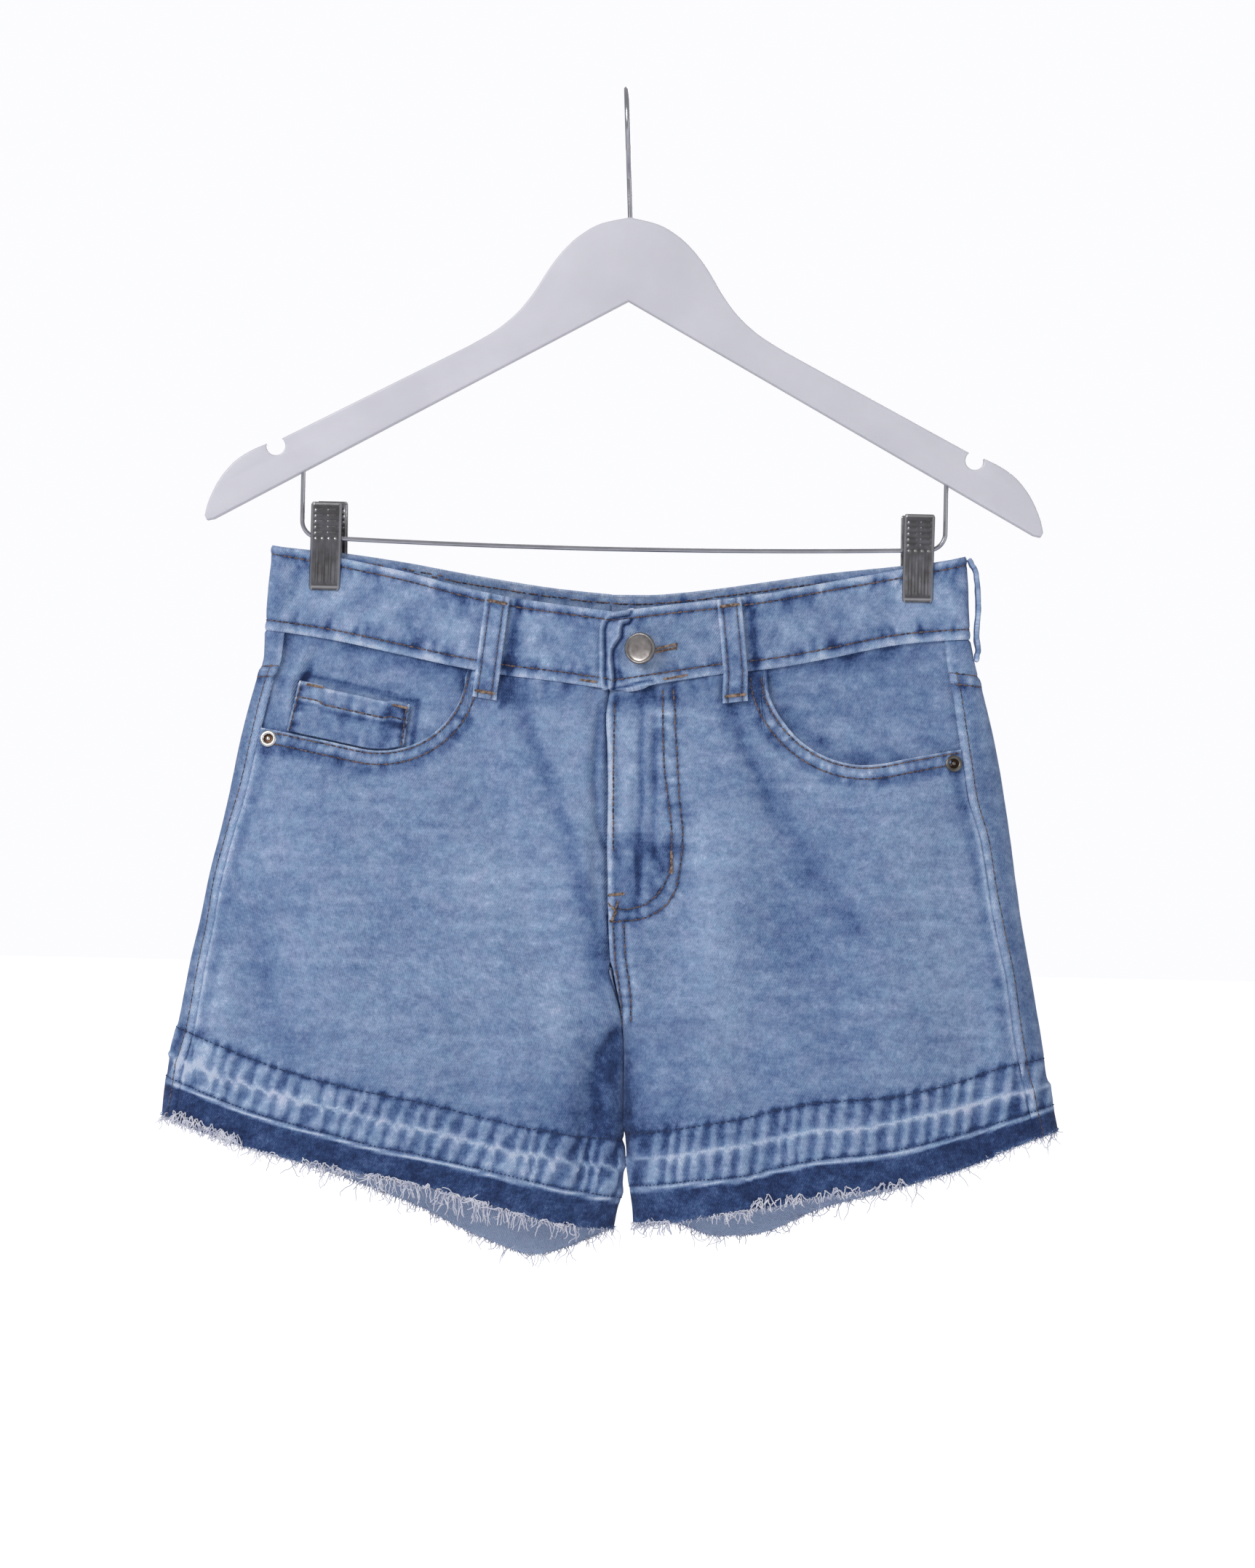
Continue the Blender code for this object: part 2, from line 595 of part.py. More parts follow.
def hem_fringe(half):
    """Frayed threads round a leg's raw edge, drawn out of a narrow strip of their own."""
    rng = random.Random(7 if half == "left" else 11)
    top = 1 + FRINGE_GAP / drop(half, 1.0)
    foot = 1 + (FRINGE_GAP + FRINGE_STRIP) / drop(half, 1.0)
    girths = []
    for i in range(STRANDS):
        middle = -1 + 2 * (i + rng.uniform(0.25, 0.75)) / STRANDS
        girths += [middle - STRAND_GIRTH / 2, middle + STRAND_GIRTH / 2]
    bm = bmesh.new()
    loops = []
    for down, lift in ((top, 0.0), (foot, 0.0), (foot, -WALL), (top, -WALL)):
        ring = [bm.verts.new(cloth(half, girth, down, lift)) for girth in girths]
        loops.append([bm.edges.new((ring[i - 1], ring[i])) for i in range(len(ring))])
    feet = []
    for i in range(4):
        made = bmesh.ops.bridge_loops(bm, edges=loops[i] + loops[(i + 1) % 4])
        if i == 1:
            feet = [f for f in made["faces"] if max(e.calc_length() for e in f.edges) < 2 * WALL]
    bmesh.ops.recalc_face_normals(bm, faces=bm.faces)
    for tip in bmesh.ops.extrude_discrete_faces(bm, faces=feet)["faces"]:
        length = STRAND_LENGTH * mix(0.3, 1.0, rng.random() ** 1.6)
        lean = Vector((length * rng.uniform(-0.35, 0.35), rng.uniform(-1.0, 1.0), -length))
        middle = tip.calc_center_median()
        for vert in tip.verts:
            vert.co = middle + (vert.co - middle) * 0.4 + lean
    node_from("hem_fringe_" + half, bm, "cotton_thread")


def hanger_outline():
    """One arm, from the middle of the top to the middle of the underside."""
    crest = [(0.0, -67.3), (15.0, -70.8), (26.8, -77.6), (36.0, -86.6), (43.0, -96.2), (50.0, -107.8),
             (58.8, -119.0), (69.6, -128.4), (84.0, -137.2)]
    notch = []
    for i in range(9):
        angle = math.radians(140 + 220 * i / 8)
        notch.append((NOTCH[0] + NOTCH_RADIUS * math.cos(angle), NOTCH[1] + NOTCH_RADIUS * math.sin(angle)))
    nose = [(196.4, -194.1), (202.0, -197.2), (208.0, -201.8), (212.6, -207.2), (216.6, -213.2),
            (219.6, -219.6), (221.8, -226.0), (222.6, -230.4)]
    return crest + notch + nose + [ARM_TIP, (217.8, -231.8), (0.0, ARM_CROTCH_Z)]


def hanger_body():
    """The wooden bow: both arms cut from one board, with its edges rounded over."""
    arm = hanger_outline()
    outline = [(HANGER_X + x, z) for x, z in arm]
    outline += [(HANGER_X - x, z) for x, z in reversed(arm[1:-1])]
    bm = bmesh.new()
    board = bm.faces.new([bm.verts.new((x, -HANGER_DEPTH / 2, z)) for x, z in outline])
    grown = bmesh.ops.extrude_face_region(bm, geom=[board])
    far = [v for v in grown["geom"] if isinstance(v, bmesh.types.BMVert)]
    bmesh.ops.translate(bm, vec=(0, HANGER_DEPTH, 0), verts=far)
    bmesh.ops.recalc_face_normals(bm, faces=bm.faces)
    rims = [e for e in bm.edges if abs(e.verts[0].co.y - e.verts[1].co.y) < 0.01]
    bmesh.ops.bevel(bm, geom=rims, offset=HANGER_EDGE, offset_type="OFFSET", segments=2, profile=0.5,
                    affect="EDGES", material=-1, clamp_overlap=True)
    node_from("hanger_body", bm, "painted_wood")


def wire(name, points, radius, sides, material):
    """A round wire along a list of points, with closed ends."""
    curve = bpy.data.curves.new(name, "CURVE")
    curve.dimensions = "3D"
    curve.bevel_depth = radius * MM
    curve.bevel_resolution = sides
    curve.use_fill_caps = True
    spline = curve.splines.new("POLY")
    spline.points.add(len(points) - 1)
    for target, point in zip(spline.points, points):
        target.co = (*(Vector(point) * MM), 1.0)
    curve.materials.append(finish(material))
    obj = bpy.data.objects.new(name, curve)
    bpy.context.scene.collection.objects.link(obj)


def hook():
    """The question-mark hook. It leans a little, so its top is to one side of its foot."""
    points = []
    centre_z = WIRE_RADIUS - HOOK_RADIUS
    neck_from = (0.0, -47.0)
    neck_to = (-HOOK_RADIUS * math.cos(math.radians(40)), centre_z - HOOK_RADIUS * math.sin(math.radians(40)))
    for i in range(4):
        points.append((0.0, mix(HOOK_FOOT_Z, neck_from[1], i / 4)))
    for i in range(6):
        share = i / 6
        points.append((mix(neck_from[0], neck_to[0], smooth(share)), mix(neck_from[1], neck_to[1], share)))
    for i in range(25):
        angle = math.radians(220 - 260 * i / 24)
        points.append((HOOK_RADIUS * math.cos(angle), centre_z + HOOK_RADIUS * math.sin(angle)))
    lean = HANGER_X / HOOK_FOOT_Z
    wire("hook", [(z * lean, y, z) for y, z in points], WIRE_RADIUS, 2, "steel_wire")


def bar_point(x):
    """The middle of the clips' wire where it hangs free between its two bends; x is from its middle."""
    flat = BAR_HALF - BAR_BEND
    return (HANGER_X + x, 0.0, BAR_Z - BAR_SAG * (1 - (x / flat) ** 2))


def clip_bar():
    """The wire that the clips slide on, bent up into the hanger at both ends."""
    top = ARM_CROTCH_Z + (ARM_TIP[1] - ARM_CROTCH_Z) * BAR_HALF / ARM_TIP[0] - 2.2
    side = [(BAR_HALF, 0.0, top), (BAR_HALF, 0.0, mix(top, BAR_Z + BAR_BEND, 0.5))]
    for i in range(7):
        angle = math.radians(90 * i / 6)
        side.append((BAR_HALF - BAR_BEND * (1 - math.cos(angle)), 0.0, BAR_Z + BAR_BEND * (1 - math.sin(angle))))
    path = [(HANGER_X + x, y, z) for x, y, z in side]
    path += [bar_point((BAR_HALF - BAR_BEND) * i / 8) for i in range(7, -8, -1)]
    path += [(HANGER_X - x, y, z) for x, y, z in reversed(side)]
    wire("clip_bar", path, BAR_RADIUS, 2, "steel_wire")


def clip_plate(name, x, face):
    """One jaw: a pressed plate, open at the finger end and closing on the band."""
    outer = [(9.8, CLIP_TOP_Z), (8.6, CLIP_TOP_Z - 8), (6.8, BAR_Z), (5.2, BAR_Z - 8),
             (NIP + 2 * GAP + CLIP_WALL, BAR_Z - 15), (NIP + 2 * GAP + CLIP_WALL, CLIP_FOOT_Z)]
    inner = [(y - CLIP_WALL, z) for y, z in reversed(outer)]
    bm = bmesh.new()
    edge = [bm.verts.new((x - CLIP_WIDTH / 2, face * y, z)) for y, z in outer + inner]
    side = bm.faces.new(edge)
    grown = bmesh.ops.extrude_face_region(bm, geom=[side])
    far = [v for v in grown["geom"] if isinstance(v, bmesh.types.BMVert)]
    bmesh.ops.translate(bm, vec=(CLIP_WIDTH, 0, 0), verts=far)
    bmesh.ops.recalc_face_normals(bm, faces=bm.faces)
    node_from(name, bm, "dark_steel")


def clip_spring(name, x):
    """The coil spring round the bar that presses the jaws together."""
    inner, outer, half_length = BAR_RADIUS + 0.6, 3.8, 5.5
    ring = [(inner, -half_length), (outer, -half_length), (outer, half_length), (inner, half_length),
            (inner, -half_length)]
    spun(name, ring, Vector(bar_point(x - HANGER_X)), Vector((1, 0, 0)), "steel_wire", steps=14)


def clips():
    """Each side's clip: where it sits on the bar, and how far its back jaw is out of line."""
    Clip = namedtuple("Clip", "side x back_shift")
    for clip in (Clip("left", 160.2, -0.8), Clip("right", -154.7, 3.0)):
        clip_plate(f"clip_{clip.side}_front", clip.x, -1)
        clip_plate(f"clip_{clip.side}_back", clip.x + clip.back_shift, 1)
        clip_spring(f"clip_{clip.side}_spring", clip.x)


def main():
    clear_scene()
    hanger_body()
    hook()
    clip_bar()
    clips()
    for half in HALVES:
        waistband(half)
        front(half)
        pocket_facing(half)
        yoke(half)
        back(half)
        back_pocket(half)
        hem_fringe(half)
    coin_pocket()
    fly_placket()
    front_loop("left", 0.328, 0.348, 0.056)
    front_loop("right", 0.330, 0.352, 0.049)
    side_loop_left()
    side_loop_right()
    centre_loop()
    button()
    rivet("left", 0.883, 0.240, "aged_brass")
    rivet("right", 0.925, 0.213, "nickel")


main()
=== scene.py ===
import math
import random
from collections import namedtuple

import bmesh
import bpy
import numpy as np
from mathutils import Matrix, Vector
from mathutils.bvhtree import BVHTree


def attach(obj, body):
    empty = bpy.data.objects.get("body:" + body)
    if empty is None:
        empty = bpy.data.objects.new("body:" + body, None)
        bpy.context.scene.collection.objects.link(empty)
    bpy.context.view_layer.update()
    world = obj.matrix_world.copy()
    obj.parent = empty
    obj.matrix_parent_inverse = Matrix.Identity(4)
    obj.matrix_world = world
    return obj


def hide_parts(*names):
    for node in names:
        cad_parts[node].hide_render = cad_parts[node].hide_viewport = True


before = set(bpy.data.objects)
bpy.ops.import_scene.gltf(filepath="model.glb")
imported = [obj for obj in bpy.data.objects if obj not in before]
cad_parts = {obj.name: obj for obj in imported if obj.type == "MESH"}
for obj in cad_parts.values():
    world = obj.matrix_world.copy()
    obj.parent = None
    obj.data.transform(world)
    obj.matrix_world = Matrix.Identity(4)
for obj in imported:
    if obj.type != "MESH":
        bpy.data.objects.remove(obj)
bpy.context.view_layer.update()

MM = 0.001

# Studio. A pale floor under the hanging shorts, a large soft light from the front on the wearer's right,
# a weaker one from the other side, and a third behind, so that the back can be seen too.
LOOK_FROM = Vector((0.0082, -3.0, -0.3683))
ROLL = math.radians(1.2)
FLOOR_Z = -0.86
SOFT_LIGHTS = [("key_light", (-1.4, -1.9, 0.85), 1.1, 28.5), ("fill_light", (1.7, -1.5, -0.3), 1.4, 4.0),
               ("back_light", (0.7, 2.2, 0.6), 1.5, 19.0)]
studio = bpy.context.scene
studio.view_settings.view_transform = "Standard"
lens = bpy.data.cameras.new("camera")
lens.lens, lens.sensor_width = 129.44, 36.0
camera = bpy.data.objects.new("camera", lens)
camera.matrix_world = Matrix(((math.cos(ROLL), -math.sin(ROLL), 0, LOOK_FROM.x), (0, 0, -1, LOOK_FROM.y),
                              (math.sin(ROLL), math.cos(ROLL), 0, LOOK_FROM.z), (0, 0, 0, 1)))
studio.collection.objects.link(camera)
studio.camera = camera
for name, place, side, power in SOFT_LIGHTS:
    softbox = bpy.data.lights.new(name, "AREA")
    softbox.size, softbox.energy, softbox.color = side, power, (1.0, 0.99, 0.985)
    lamp = bpy.data.objects.new(name, softbox)
    lamp.location = place
    lamp.rotation_euler = (Vector((0, 0, -0.4)) - Vector(place)).to_track_quat("-Z", "Y").to_euler()
    lamp.visible_camera = False
    studio.collection.objects.link(lamp)


def join(tree, kind, **given):
    """A shader node with its settings and its inputs, each a value or another node's output."""
    made = tree.nodes.new("ShaderNode" + kind)
    for key, value in given.items():
        if hasattr(made, key):
            setattr(made, key, value)
            continue
        numbered = key[0] == "i" and key[1:].isdigit()
        socket = made.inputs[int(key[1:]) if numbered else key.replace("_", " ")]
        if isinstance(value, bpy.types.NodeSocket):
            tree.links.new(value, socket)
        else:
            socket.default_value = value
    return made


world = bpy.data.worlds.new("room")
world.use_nodes = True
room = world.node_tree
seen = join(room, "LightPath").outputs["Is Camera Ray"]
glow = join(room, "MapRange", i0=seen, i3=0.38, i4=1.0).outputs[0]
room.links.new(glow, room.nodes["Background"].inputs["Strength"])
room.nodes["Background"].inputs["Color"].default_value = (0.975, 0.975, 1.0, 1)
studio.world = world

pale = bpy.data.materials.new("pale_floor")
pale.use_nodes = True
skin = pale.node_tree.nodes["Principled BSDF"].inputs
skin["Base Color"].default_value = (0.80, 0.80, 0.83, 1)
skin["Roughness"].default_value = 0.9
skin["Emission Color"].default_value = (0.97, 0.97, 1.0, 1)
unlit = join(pale.node_tree, "LightPath").outputs["Is Camera Ray"]
pale.node_tree.links.new(join(pale.node_tree, "MapRange", i0=unlit, i3=0.05, i4=0.85).outputs[0],
                         skin["Emission Strength"])
bm = bmesh.new()
bmesh.ops.create_grid(bm, x_segments=2, y_segments=2, size=12, matrix=Matrix.Translation((0, 0, FLOOR_Z)))
mesh = bpy.data.meshes.new("floor")
bm.to_mesh(mesh)
bm.free()
mesh.materials.append(pale)
floor = bpy.data.objects.new("floor", mesh)
studio.collection.objects.link(floor)


# The wooden bow of the hanger. Both arms are cut from one board, with the edges rounded over, a notch
# near each tip for straps, and a pale grey gloss paint that has dulled a little.
HANGER_X = 3.4
HANGER_DEPTH = 12.0
HANGER_EDGE = 2.4
ARM_TIP = (221.5, -232.6)
ARM_CROTCH_Z = -111.5
NOTCH = (185.6, -192.6)
NOTCH_RADIUS = 5.0


def mix(a, b, share):
    return a + (b - a) * share


def smooth(x):
    x = np.clip(x, 0.0, 1.0)
    return x * x * (3 - 2 * x)


def read(table, column, where):
    """A column's values at places in the table's first column, on a smooth curve through the rows."""
    x = np.array([row[0] for row in table], float)
    y = np.array([getattr(row, column) for row in table], float)
    where = np.clip(where, x[0], x[-1])
    rise = np.diff(y) / np.diff(x)
    before, after = np.append(rise[0], rise), np.append(rise, rise[-1])
    turning = before * after <= 0
    slope = np.where(turning, 0.0, 2 / (1 / np.where(turning, 1, before) + 1 / np.where(turning, 1, after)))
    i = np.clip(np.searchsorted(x, where, side="left") - 1, 0, len(x) - 2)
    width = x[i + 1] - x[i]
    s = (where - x[i]) / width
    return ((2 * s**3 - 3 * s**2 + 1) * y[i] + (s**3 - 2 * s**2 + s) * slope[i] * width
            + (3 * s**2 - 2 * s**3) * y[i + 1] + (s**3 - s**2) * slope[i + 1] * width)


def piece(name, bm, material, replaced=(), smooth_under=40.0):
    """A finished piece from a bmesh in millimetres, riding on the one body."""
    bmesh.ops.scale(bm, vec=Vector((MM, MM, MM)), verts=bm.verts)
    mesh = bpy.data.meshes.new(name)
    bm.to_mesh(mesh)
    bm.free()
    mesh.shade_smooth()
    mesh.set_sharp_from_angle(angle=math.radians(smooth_under))
    mesh.materials.append(material)
    obj = bpy.data.objects.new(name, mesh)
    studio.collection.objects.link(obj)
    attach(obj, "root")
    if replaced:
        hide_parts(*replaced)
    return obj


def surface_material(name, roughness, metallic=0.0, **plain):
    """A new material: its tree and its Principled shader, with the sockets that stay the same all over."""
    material = bpy.data.materials.new(name)
    material.use_nodes = True
    shader = material.node_tree.nodes["Principled BSDF"]
    shader.inputs["Roughness"].default_value = roughness
    shader.inputs["Metallic"].default_value = metallic
    for key, value in plain.items():
        shader.inputs[key.replace("_", " ")].default_value = value
    return material, material.node_tree, shader


def speckle(tree, scale, detail=3.0, roughness=0.55, stretch=(1, 1, 1), source=None):
    """Noise over the object's own coordinates, with so many bumps for each metre."""
    where = source or join(tree, "TexCoord").outputs["Object"]
    where = join(tree, "Mapping", Vector=where, Scale=stretch).outputs[0]
    return join(tree, "TexNoise", Vector=where, Scale=scale, Detail=detail, Roughness=roughness).outputs[0]


def ramp(tree, value, *stops):
    """A colour for each value, from (place, colour) stops."""
    made = join(tree, "ValToRGB", Fac=value)
    steps = made.color_ramp.elements
    while len(steps) < len(stops):
        steps.new(0.5)
    for step, (at, colour) in zip(steps, stops):
        step.position, step.color = at, (*colour, 1)
    return made.outputs[0]


paint, tree, shader = surface_material("painted_wood", 0.36, Coat_Weight=0.25, Coat_Roughness=0.22)
dulled = speckle(tree, 22, 4)
tree.links.new(ramp(tree, dulled, (0.3, (0.71, 0.71, 0.78)), (0.7, (0.78, 0.78, 0.85))),
               shader.inputs["Base Color"])
orange_peel = speckle(tree, 420, 2)
brushed_on = speckle(tree, 60, 2, stretch=(0.3, 1, 3))
bumpy = join(tree, "Bump", Strength=0.12, Distance=0.0004, Height=orange_peel)
bumpy = join(tree, "Bump", Strength=0.15, Distance=0.0006, Height=brushed_on, Normal=bumpy.outputs[0])
tree.links.new(bumpy.outputs[0], shader.inputs["Normal"])
tree.links.new(join(tree, "MapRange", i0=dulled, i3=0.30, i4=0.46).outputs[0], shader.inputs["Roughness"])

Crest = namedtuple("Crest", "x z")
CREST = [Crest(0.0, -67.3), Crest(15.0, -70.8), Crest(26.8, -77.6), Crest(36.0, -86.6), Crest(43.0, -96.2),
         Crest(50.0, -107.8), Crest(58.8, -119.0), Crest(69.6, -128.4), Crest(84.0, -137.2)]
NOSE = [Crest(0.0, -194.1), Crest(0.21, -197.2), Crest(0.44, -201.8), Crest(0.62, -207.2),
        Crest(0.77, -213.2),
        Crest(0.885, -219.6), Crest(0.97, -226.0), Crest(1.0, -230.4)]
arm = [(x, float(read(CREST, "z", x))) for x in np.linspace(0, 84, 29)]
for angle in np.radians(np.linspace(128, 372, 15)):
    arm.append((NOTCH[0] + NOTCH_RADIUS * math.cos(angle), NOTCH[1] + NOTCH_RADIUS * math.sin(angle)))
for share in 1 - (1 - np.linspace(0, 1, 14)) ** 1.6:
    arm.append((196.4 + 26.2 * share, float(read(NOSE, "z", share))))
arm += [ARM_TIP, (217.8, -231.8), (0.0, ARM_CROTCH_Z)]
outline = [(HANGER_X + x, z) for x, z in arm] + [(HANGER_X - x, z) for x, z in reversed(arm[1:-1])]
bm = bmesh.new()
board = bm.faces.new([bm.verts.new((x, -HANGER_DEPTH / 2, z)) for x, z in outline])
grown = bmesh.ops.extrude_face_region(bm, geom=[board])
far = [v for v in grown["geom"] if isinstance(v, bmesh.types.BMVert)]
bmesh.ops.translate(bm, vec=(0, HANGER_DEPTH, 0), verts=far)
bmesh.ops.recalc_face_normals(bm, faces=bm.faces)
rims = [e for e in bm.edges if abs(e.verts[0].co.y - e.verts[1].co.y) < 0.01]
bmesh.ops.bevel(bm, geom=rims, offset=HANGER_EDGE, offset_type="OFFSET", segments=4, profile=0.5,
                affect="EDGES", material=-1, clamp_overlap=True)
piece("hanger_bow", bm, paint, ["hanger_body"])


# The hook, screwed into the middle of the bow, and the wire that the clips slide on, bent up into
# both arms. Both are bright plated steel wire, a little dulled by handling.
WIRE_RADIUS = 1.3
HOOK_RADIUS = 18.6
HOOK_FOOT_Z = -66.9
BAR_RADIUS = 1.2
BAR_Z = -240.6
BAR_SAG = 2.9
BAR_HALF = 171.0
BAR_BEND = 9.0

plated, tree, shader = surface_material("steel_wire", 0.24, 1.0)
handled = speckle(tree, 60, 3)
tree.links.new(ramp(tree, handled, (0.3, (0.48, 0.48, 0.53)), (0.7, (0.62, 0.62, 0.67))),
               shader.inputs["Base Color"])
tree.links.new(join(tree, "MapRange", i0=handled, i3=0.14, i4=0.28).outputs[0], shader.inputs["Roughness"])
drawn = speckle(tree, 500, 1)
tree.links.new(join(tree, "Bump", Strength=0.04, Distance=0.0001, Height=drawn).outputs[0],
               shader.inputs["Normal"])


def shape_copy(bm, shape, places):
    """Add a copy of a small mesh to bm, with its points at places."""
    shape.vertices.foreach_set("co", np.asarray(places, float).ravel())
    bm.from_mesh(shape)


def small_shape(name, bm):
    """A small mesh to copy, and its points."""
    bmesh.ops.recalc_face_normals(bm, faces=bm.faces)
    mesh = bpy.data.meshes.new(name)
    bm.to_mesh(mesh)
    bm.free()
    return mesh, np.array([v.co for v in mesh.vertices])


tubes = {}


def strand(bm, path, radius, sides=8, taper=0.0):
    """A round strand with closed ends along a list of points. It thins by a share of taper to its end."""
    path = np.array([tuple(p) for p in path])
    count = len(path)
    if (count, sides) not in tubes:
        tube = bmesh.new()
        bmesh.ops.create_cone(tube, cap_ends=True, segments=sides, radius1=1, radius2=1, depth=1)
        upright = [e for e in tube.edges if abs(e.verts[0].co.z - e.verts[1].co.z) > 0.5]
        bmesh.ops.subdivide_edges(tube, edges=upright, cuts=count - 2, use_grid_fill=True)
        tubes[count, sides] = small_shape("tube", tube)
    shape, points = tubes[count, sides]
    ring = np.rint((points[:, 2] + 0.5) * (count - 1)).astype(int)
    run = np.gradient(path, axis=0)
    run /= np.linalg.norm(run, axis=1, keepdims=True)
    side = [np.cross(run[0], (0.31, 0.92, 0.24) if abs(run[0][1]) < 0.8 else (1.0, 0.1, 0.0))]
    for k in range(count):
        kept = side[-1] - run[k] * np.dot(side[-1], run[k])
        side.append(kept / np.linalg.norm(kept))
    side = np.array(side[1:])
    width = (radius * (1 - taper * np.arange(count) / (count - 1)))[ring, None]
    shape_copy(bm, shape, path[ring] + width
               * (points[:, :1] * side[ring] + points[:, 1:2] * np.cross(run, side)[ring]))


def wire_piece(name, points, radius, replaced):
    bm = bmesh.new()
    strand(bm, points, radius, 14)
    bmesh.ops.recalc_face_normals(bm, faces=bm.faces)
    return piece(name, bm, plated, [replaced])


centre_z = WIRE_RADIUS - HOOK_RADIUS
neck = (-HOOK_RADIUS * math.cos(math.radians(40)), centre_z - HOOK_RADIUS * math.sin(math.radians(40)))
route = [(0.0, z) for z in np.linspace(HOOK_FOOT_Z, -47.0, 4)[:-1]]
route += [(mix(0.0, neck[0], smooth(s)), mix(-47.0, neck[1], s)) for s in np.linspace(0, 1, 15)[:-1]]
route += [(HOOK_RADIUS * math.cos(a), centre_z + HOOK_RADIUS * math.sin(a))
          for a in np.radians(np.linspace(220, -40, 53))]
wire_piece("hanger_hook", [(z * HANGER_X / HOOK_FOOT_Z, y, z) for y, z in route], WIRE_RADIUS, "hook")

flat = BAR_HALF - BAR_BEND
arm_under = ARM_CROTCH_Z + (ARM_TIP[1] - ARM_CROTCH_Z) * BAR_HALF / ARM_TIP[0] - 2.2
bend = [(BAR_HALF - BAR_BEND * (1 - math.cos(a)), BAR_Z + BAR_BEND * (1 - math.sin(a)))
        for a in np.radians(np.linspace(0, 90, 12))]
half_bar = [(BAR_HALF, arm_under + 3.0), (BAR_HALF, mix(arm_under, BAR_Z + BAR_BEND, 0.5))] + bend
half_bar += [(x, BAR_Z - BAR_SAG * (1 - (x / flat) ** 2)) for x in np.linspace(flat, 0, 12)[1:]]
bar_route = ([(HANGER_X + x, 0.0, z) for x, z in half_bar]
             + [(HANGER_X - x, 0.0, z) for x, z in reversed(half_bar[:-1])])
wire_piece("clip_wire", bar_route, BAR_RADIUS, "clip_bar")


# The cloth of the shorts: a stone-washed indigo twill. Its tables give where the waist, the hem and the
# folds lie, so that every piece cut from it hangs on one shape. Sizes are in millimetres.
WALL = 1.3
BAND_WALL = 2.6
BAND_HEIGHT = 42.0
GAP = 0.3
TUCK = 0.075
TWILL_PITCH = 0.00105
POCKET_UNDER = WALL + 4 * GAP
PATCH_OUT = WALL + 4 * GAP
NIP = 2.9
FOLD_HALF = 5.0
NIP_ACROSS = 0.85
NIP_FLAT = 0.06
NIP_REACH = 0.35
FOLD_POWER = 75.0
BODY_POWER = 3.6
Across = namedtuple("Across", "across top_left top_right back_left back_right "
                              "seam_left seam_right hem_left hem_right droop_left droop_right")
ACROSS = [
    Across(0.00, -277.3, -277.0, -267.2, -267.0, -319.5, -318.5, -602.0, -604.7, 0.0, 0.0),
    Across(0.10, -274.6, -274.9, -267.0, -265.6, -316.2, -316.2, -599.8, -603.3, 3.0, 13.0),
    Across(0.20, -271.9, -272.8, -265.4, -263.8, -312.8, -314.1, -595.5, -598.0, 14.0, 23.0),
    Across(0.30, -269.5, -270.4, -263.0, -261.4, -309.5, -312.3, -591.8, -591.0, 16.0, 21.0),
    Across(0.45, -265.1, -264.9, -258.6, -257.4, -305.7, -308.0, -584.2, -582.0, 9.0, 13.0),
    Across(0.60, -259.2, -258.2, -254.2, -253.0, -300.0, -302.6, -579.4, -575.8, 4.0, 6.0),
    Across(0.80, -251.7, -251.2, -249.6, -248.4, -291.7, -295.5, -566.0, -565.6, 1.0, 1.0),
    Across(0.90, -247.8, -248.0, -247.2, -247.0, -289.4, -292.8, -555.8, -557.5, 0.0, 0.0),
    Across(1.00, -243.6, -245.3, -243.6, -245.3, -288.0, -290.8, -547.7, -549.2, 0.0, 0.0),
]
Down = namedtuple("Down", "down fold_left fold_right inner_left inner_right "
                          "seam_left seam_right front back closing")
DOWN = [
    Down(0.00, 188.6, 186.2, -2.1, -2.5, 13.6, 10.5, 12.0, 18.0, 0.0),
    Down(0.05, 191.6, 186.4, -3.9, -4.3, 14.8, 9.5, 13.0, 19.5, 0.0),
    Down(0.10, 195.6, 190.0, -3.0, -3.4, 16.0, 9.0, 14.0, 21.0, 0.0),
    Down(0.20, 202.6, 196.5, -2.0, -2.6, 18.6, 9.4, 17.0, 24.0, 0.0),
    Down(0.30, 208.0, 201.3, -1.8, -2.6, 19.4, 9.0, 19.0, 26.0, 0.0),
    Down(0.40, 212.1, 206.8, -0.8, -1.6, 16.0, 7.4, 20.5, 27.0, 0.0),
    Down(0.50, 215.8, 213.0, 0.9, 0.6, 15.0, 7.0, 21.0, 27.5, 0.0),
    Down(0.60, 220.4, 217.8, 6.7, 7.3, 14.0, 8.0, 21.0, 27.0, 0.60),
    Down(0.67, 223.9, 221.7, 8.9, 10.2, 13.2, 8.4, 21.0, 26.0, 1.0),
    Down(0.80, 230.3, 227.6, 9.3, 10.4, 14.0, 9.0, 20.0, 24.5, 1.0),
    Down(0.90, 235.5, 233.4, 13.0, 10.8, 13.4, 8.8, 19.5, 23.5, 1.0),
    Down(1.00, 241.3, 236.0, 16.0, 6.2, 12.4, 7.2, 19.0, 23.0, 1.0),
]
Mouth = namedtuple("Mouth", "start reach depth")
MOUTHS = {"left": Mouth(0.428, 0.30, 0.215), "right": Mouth(0.413, 0.27, 0.194)}
Crease = namedtuple("Crease", "half face across down to_across to_down width height")
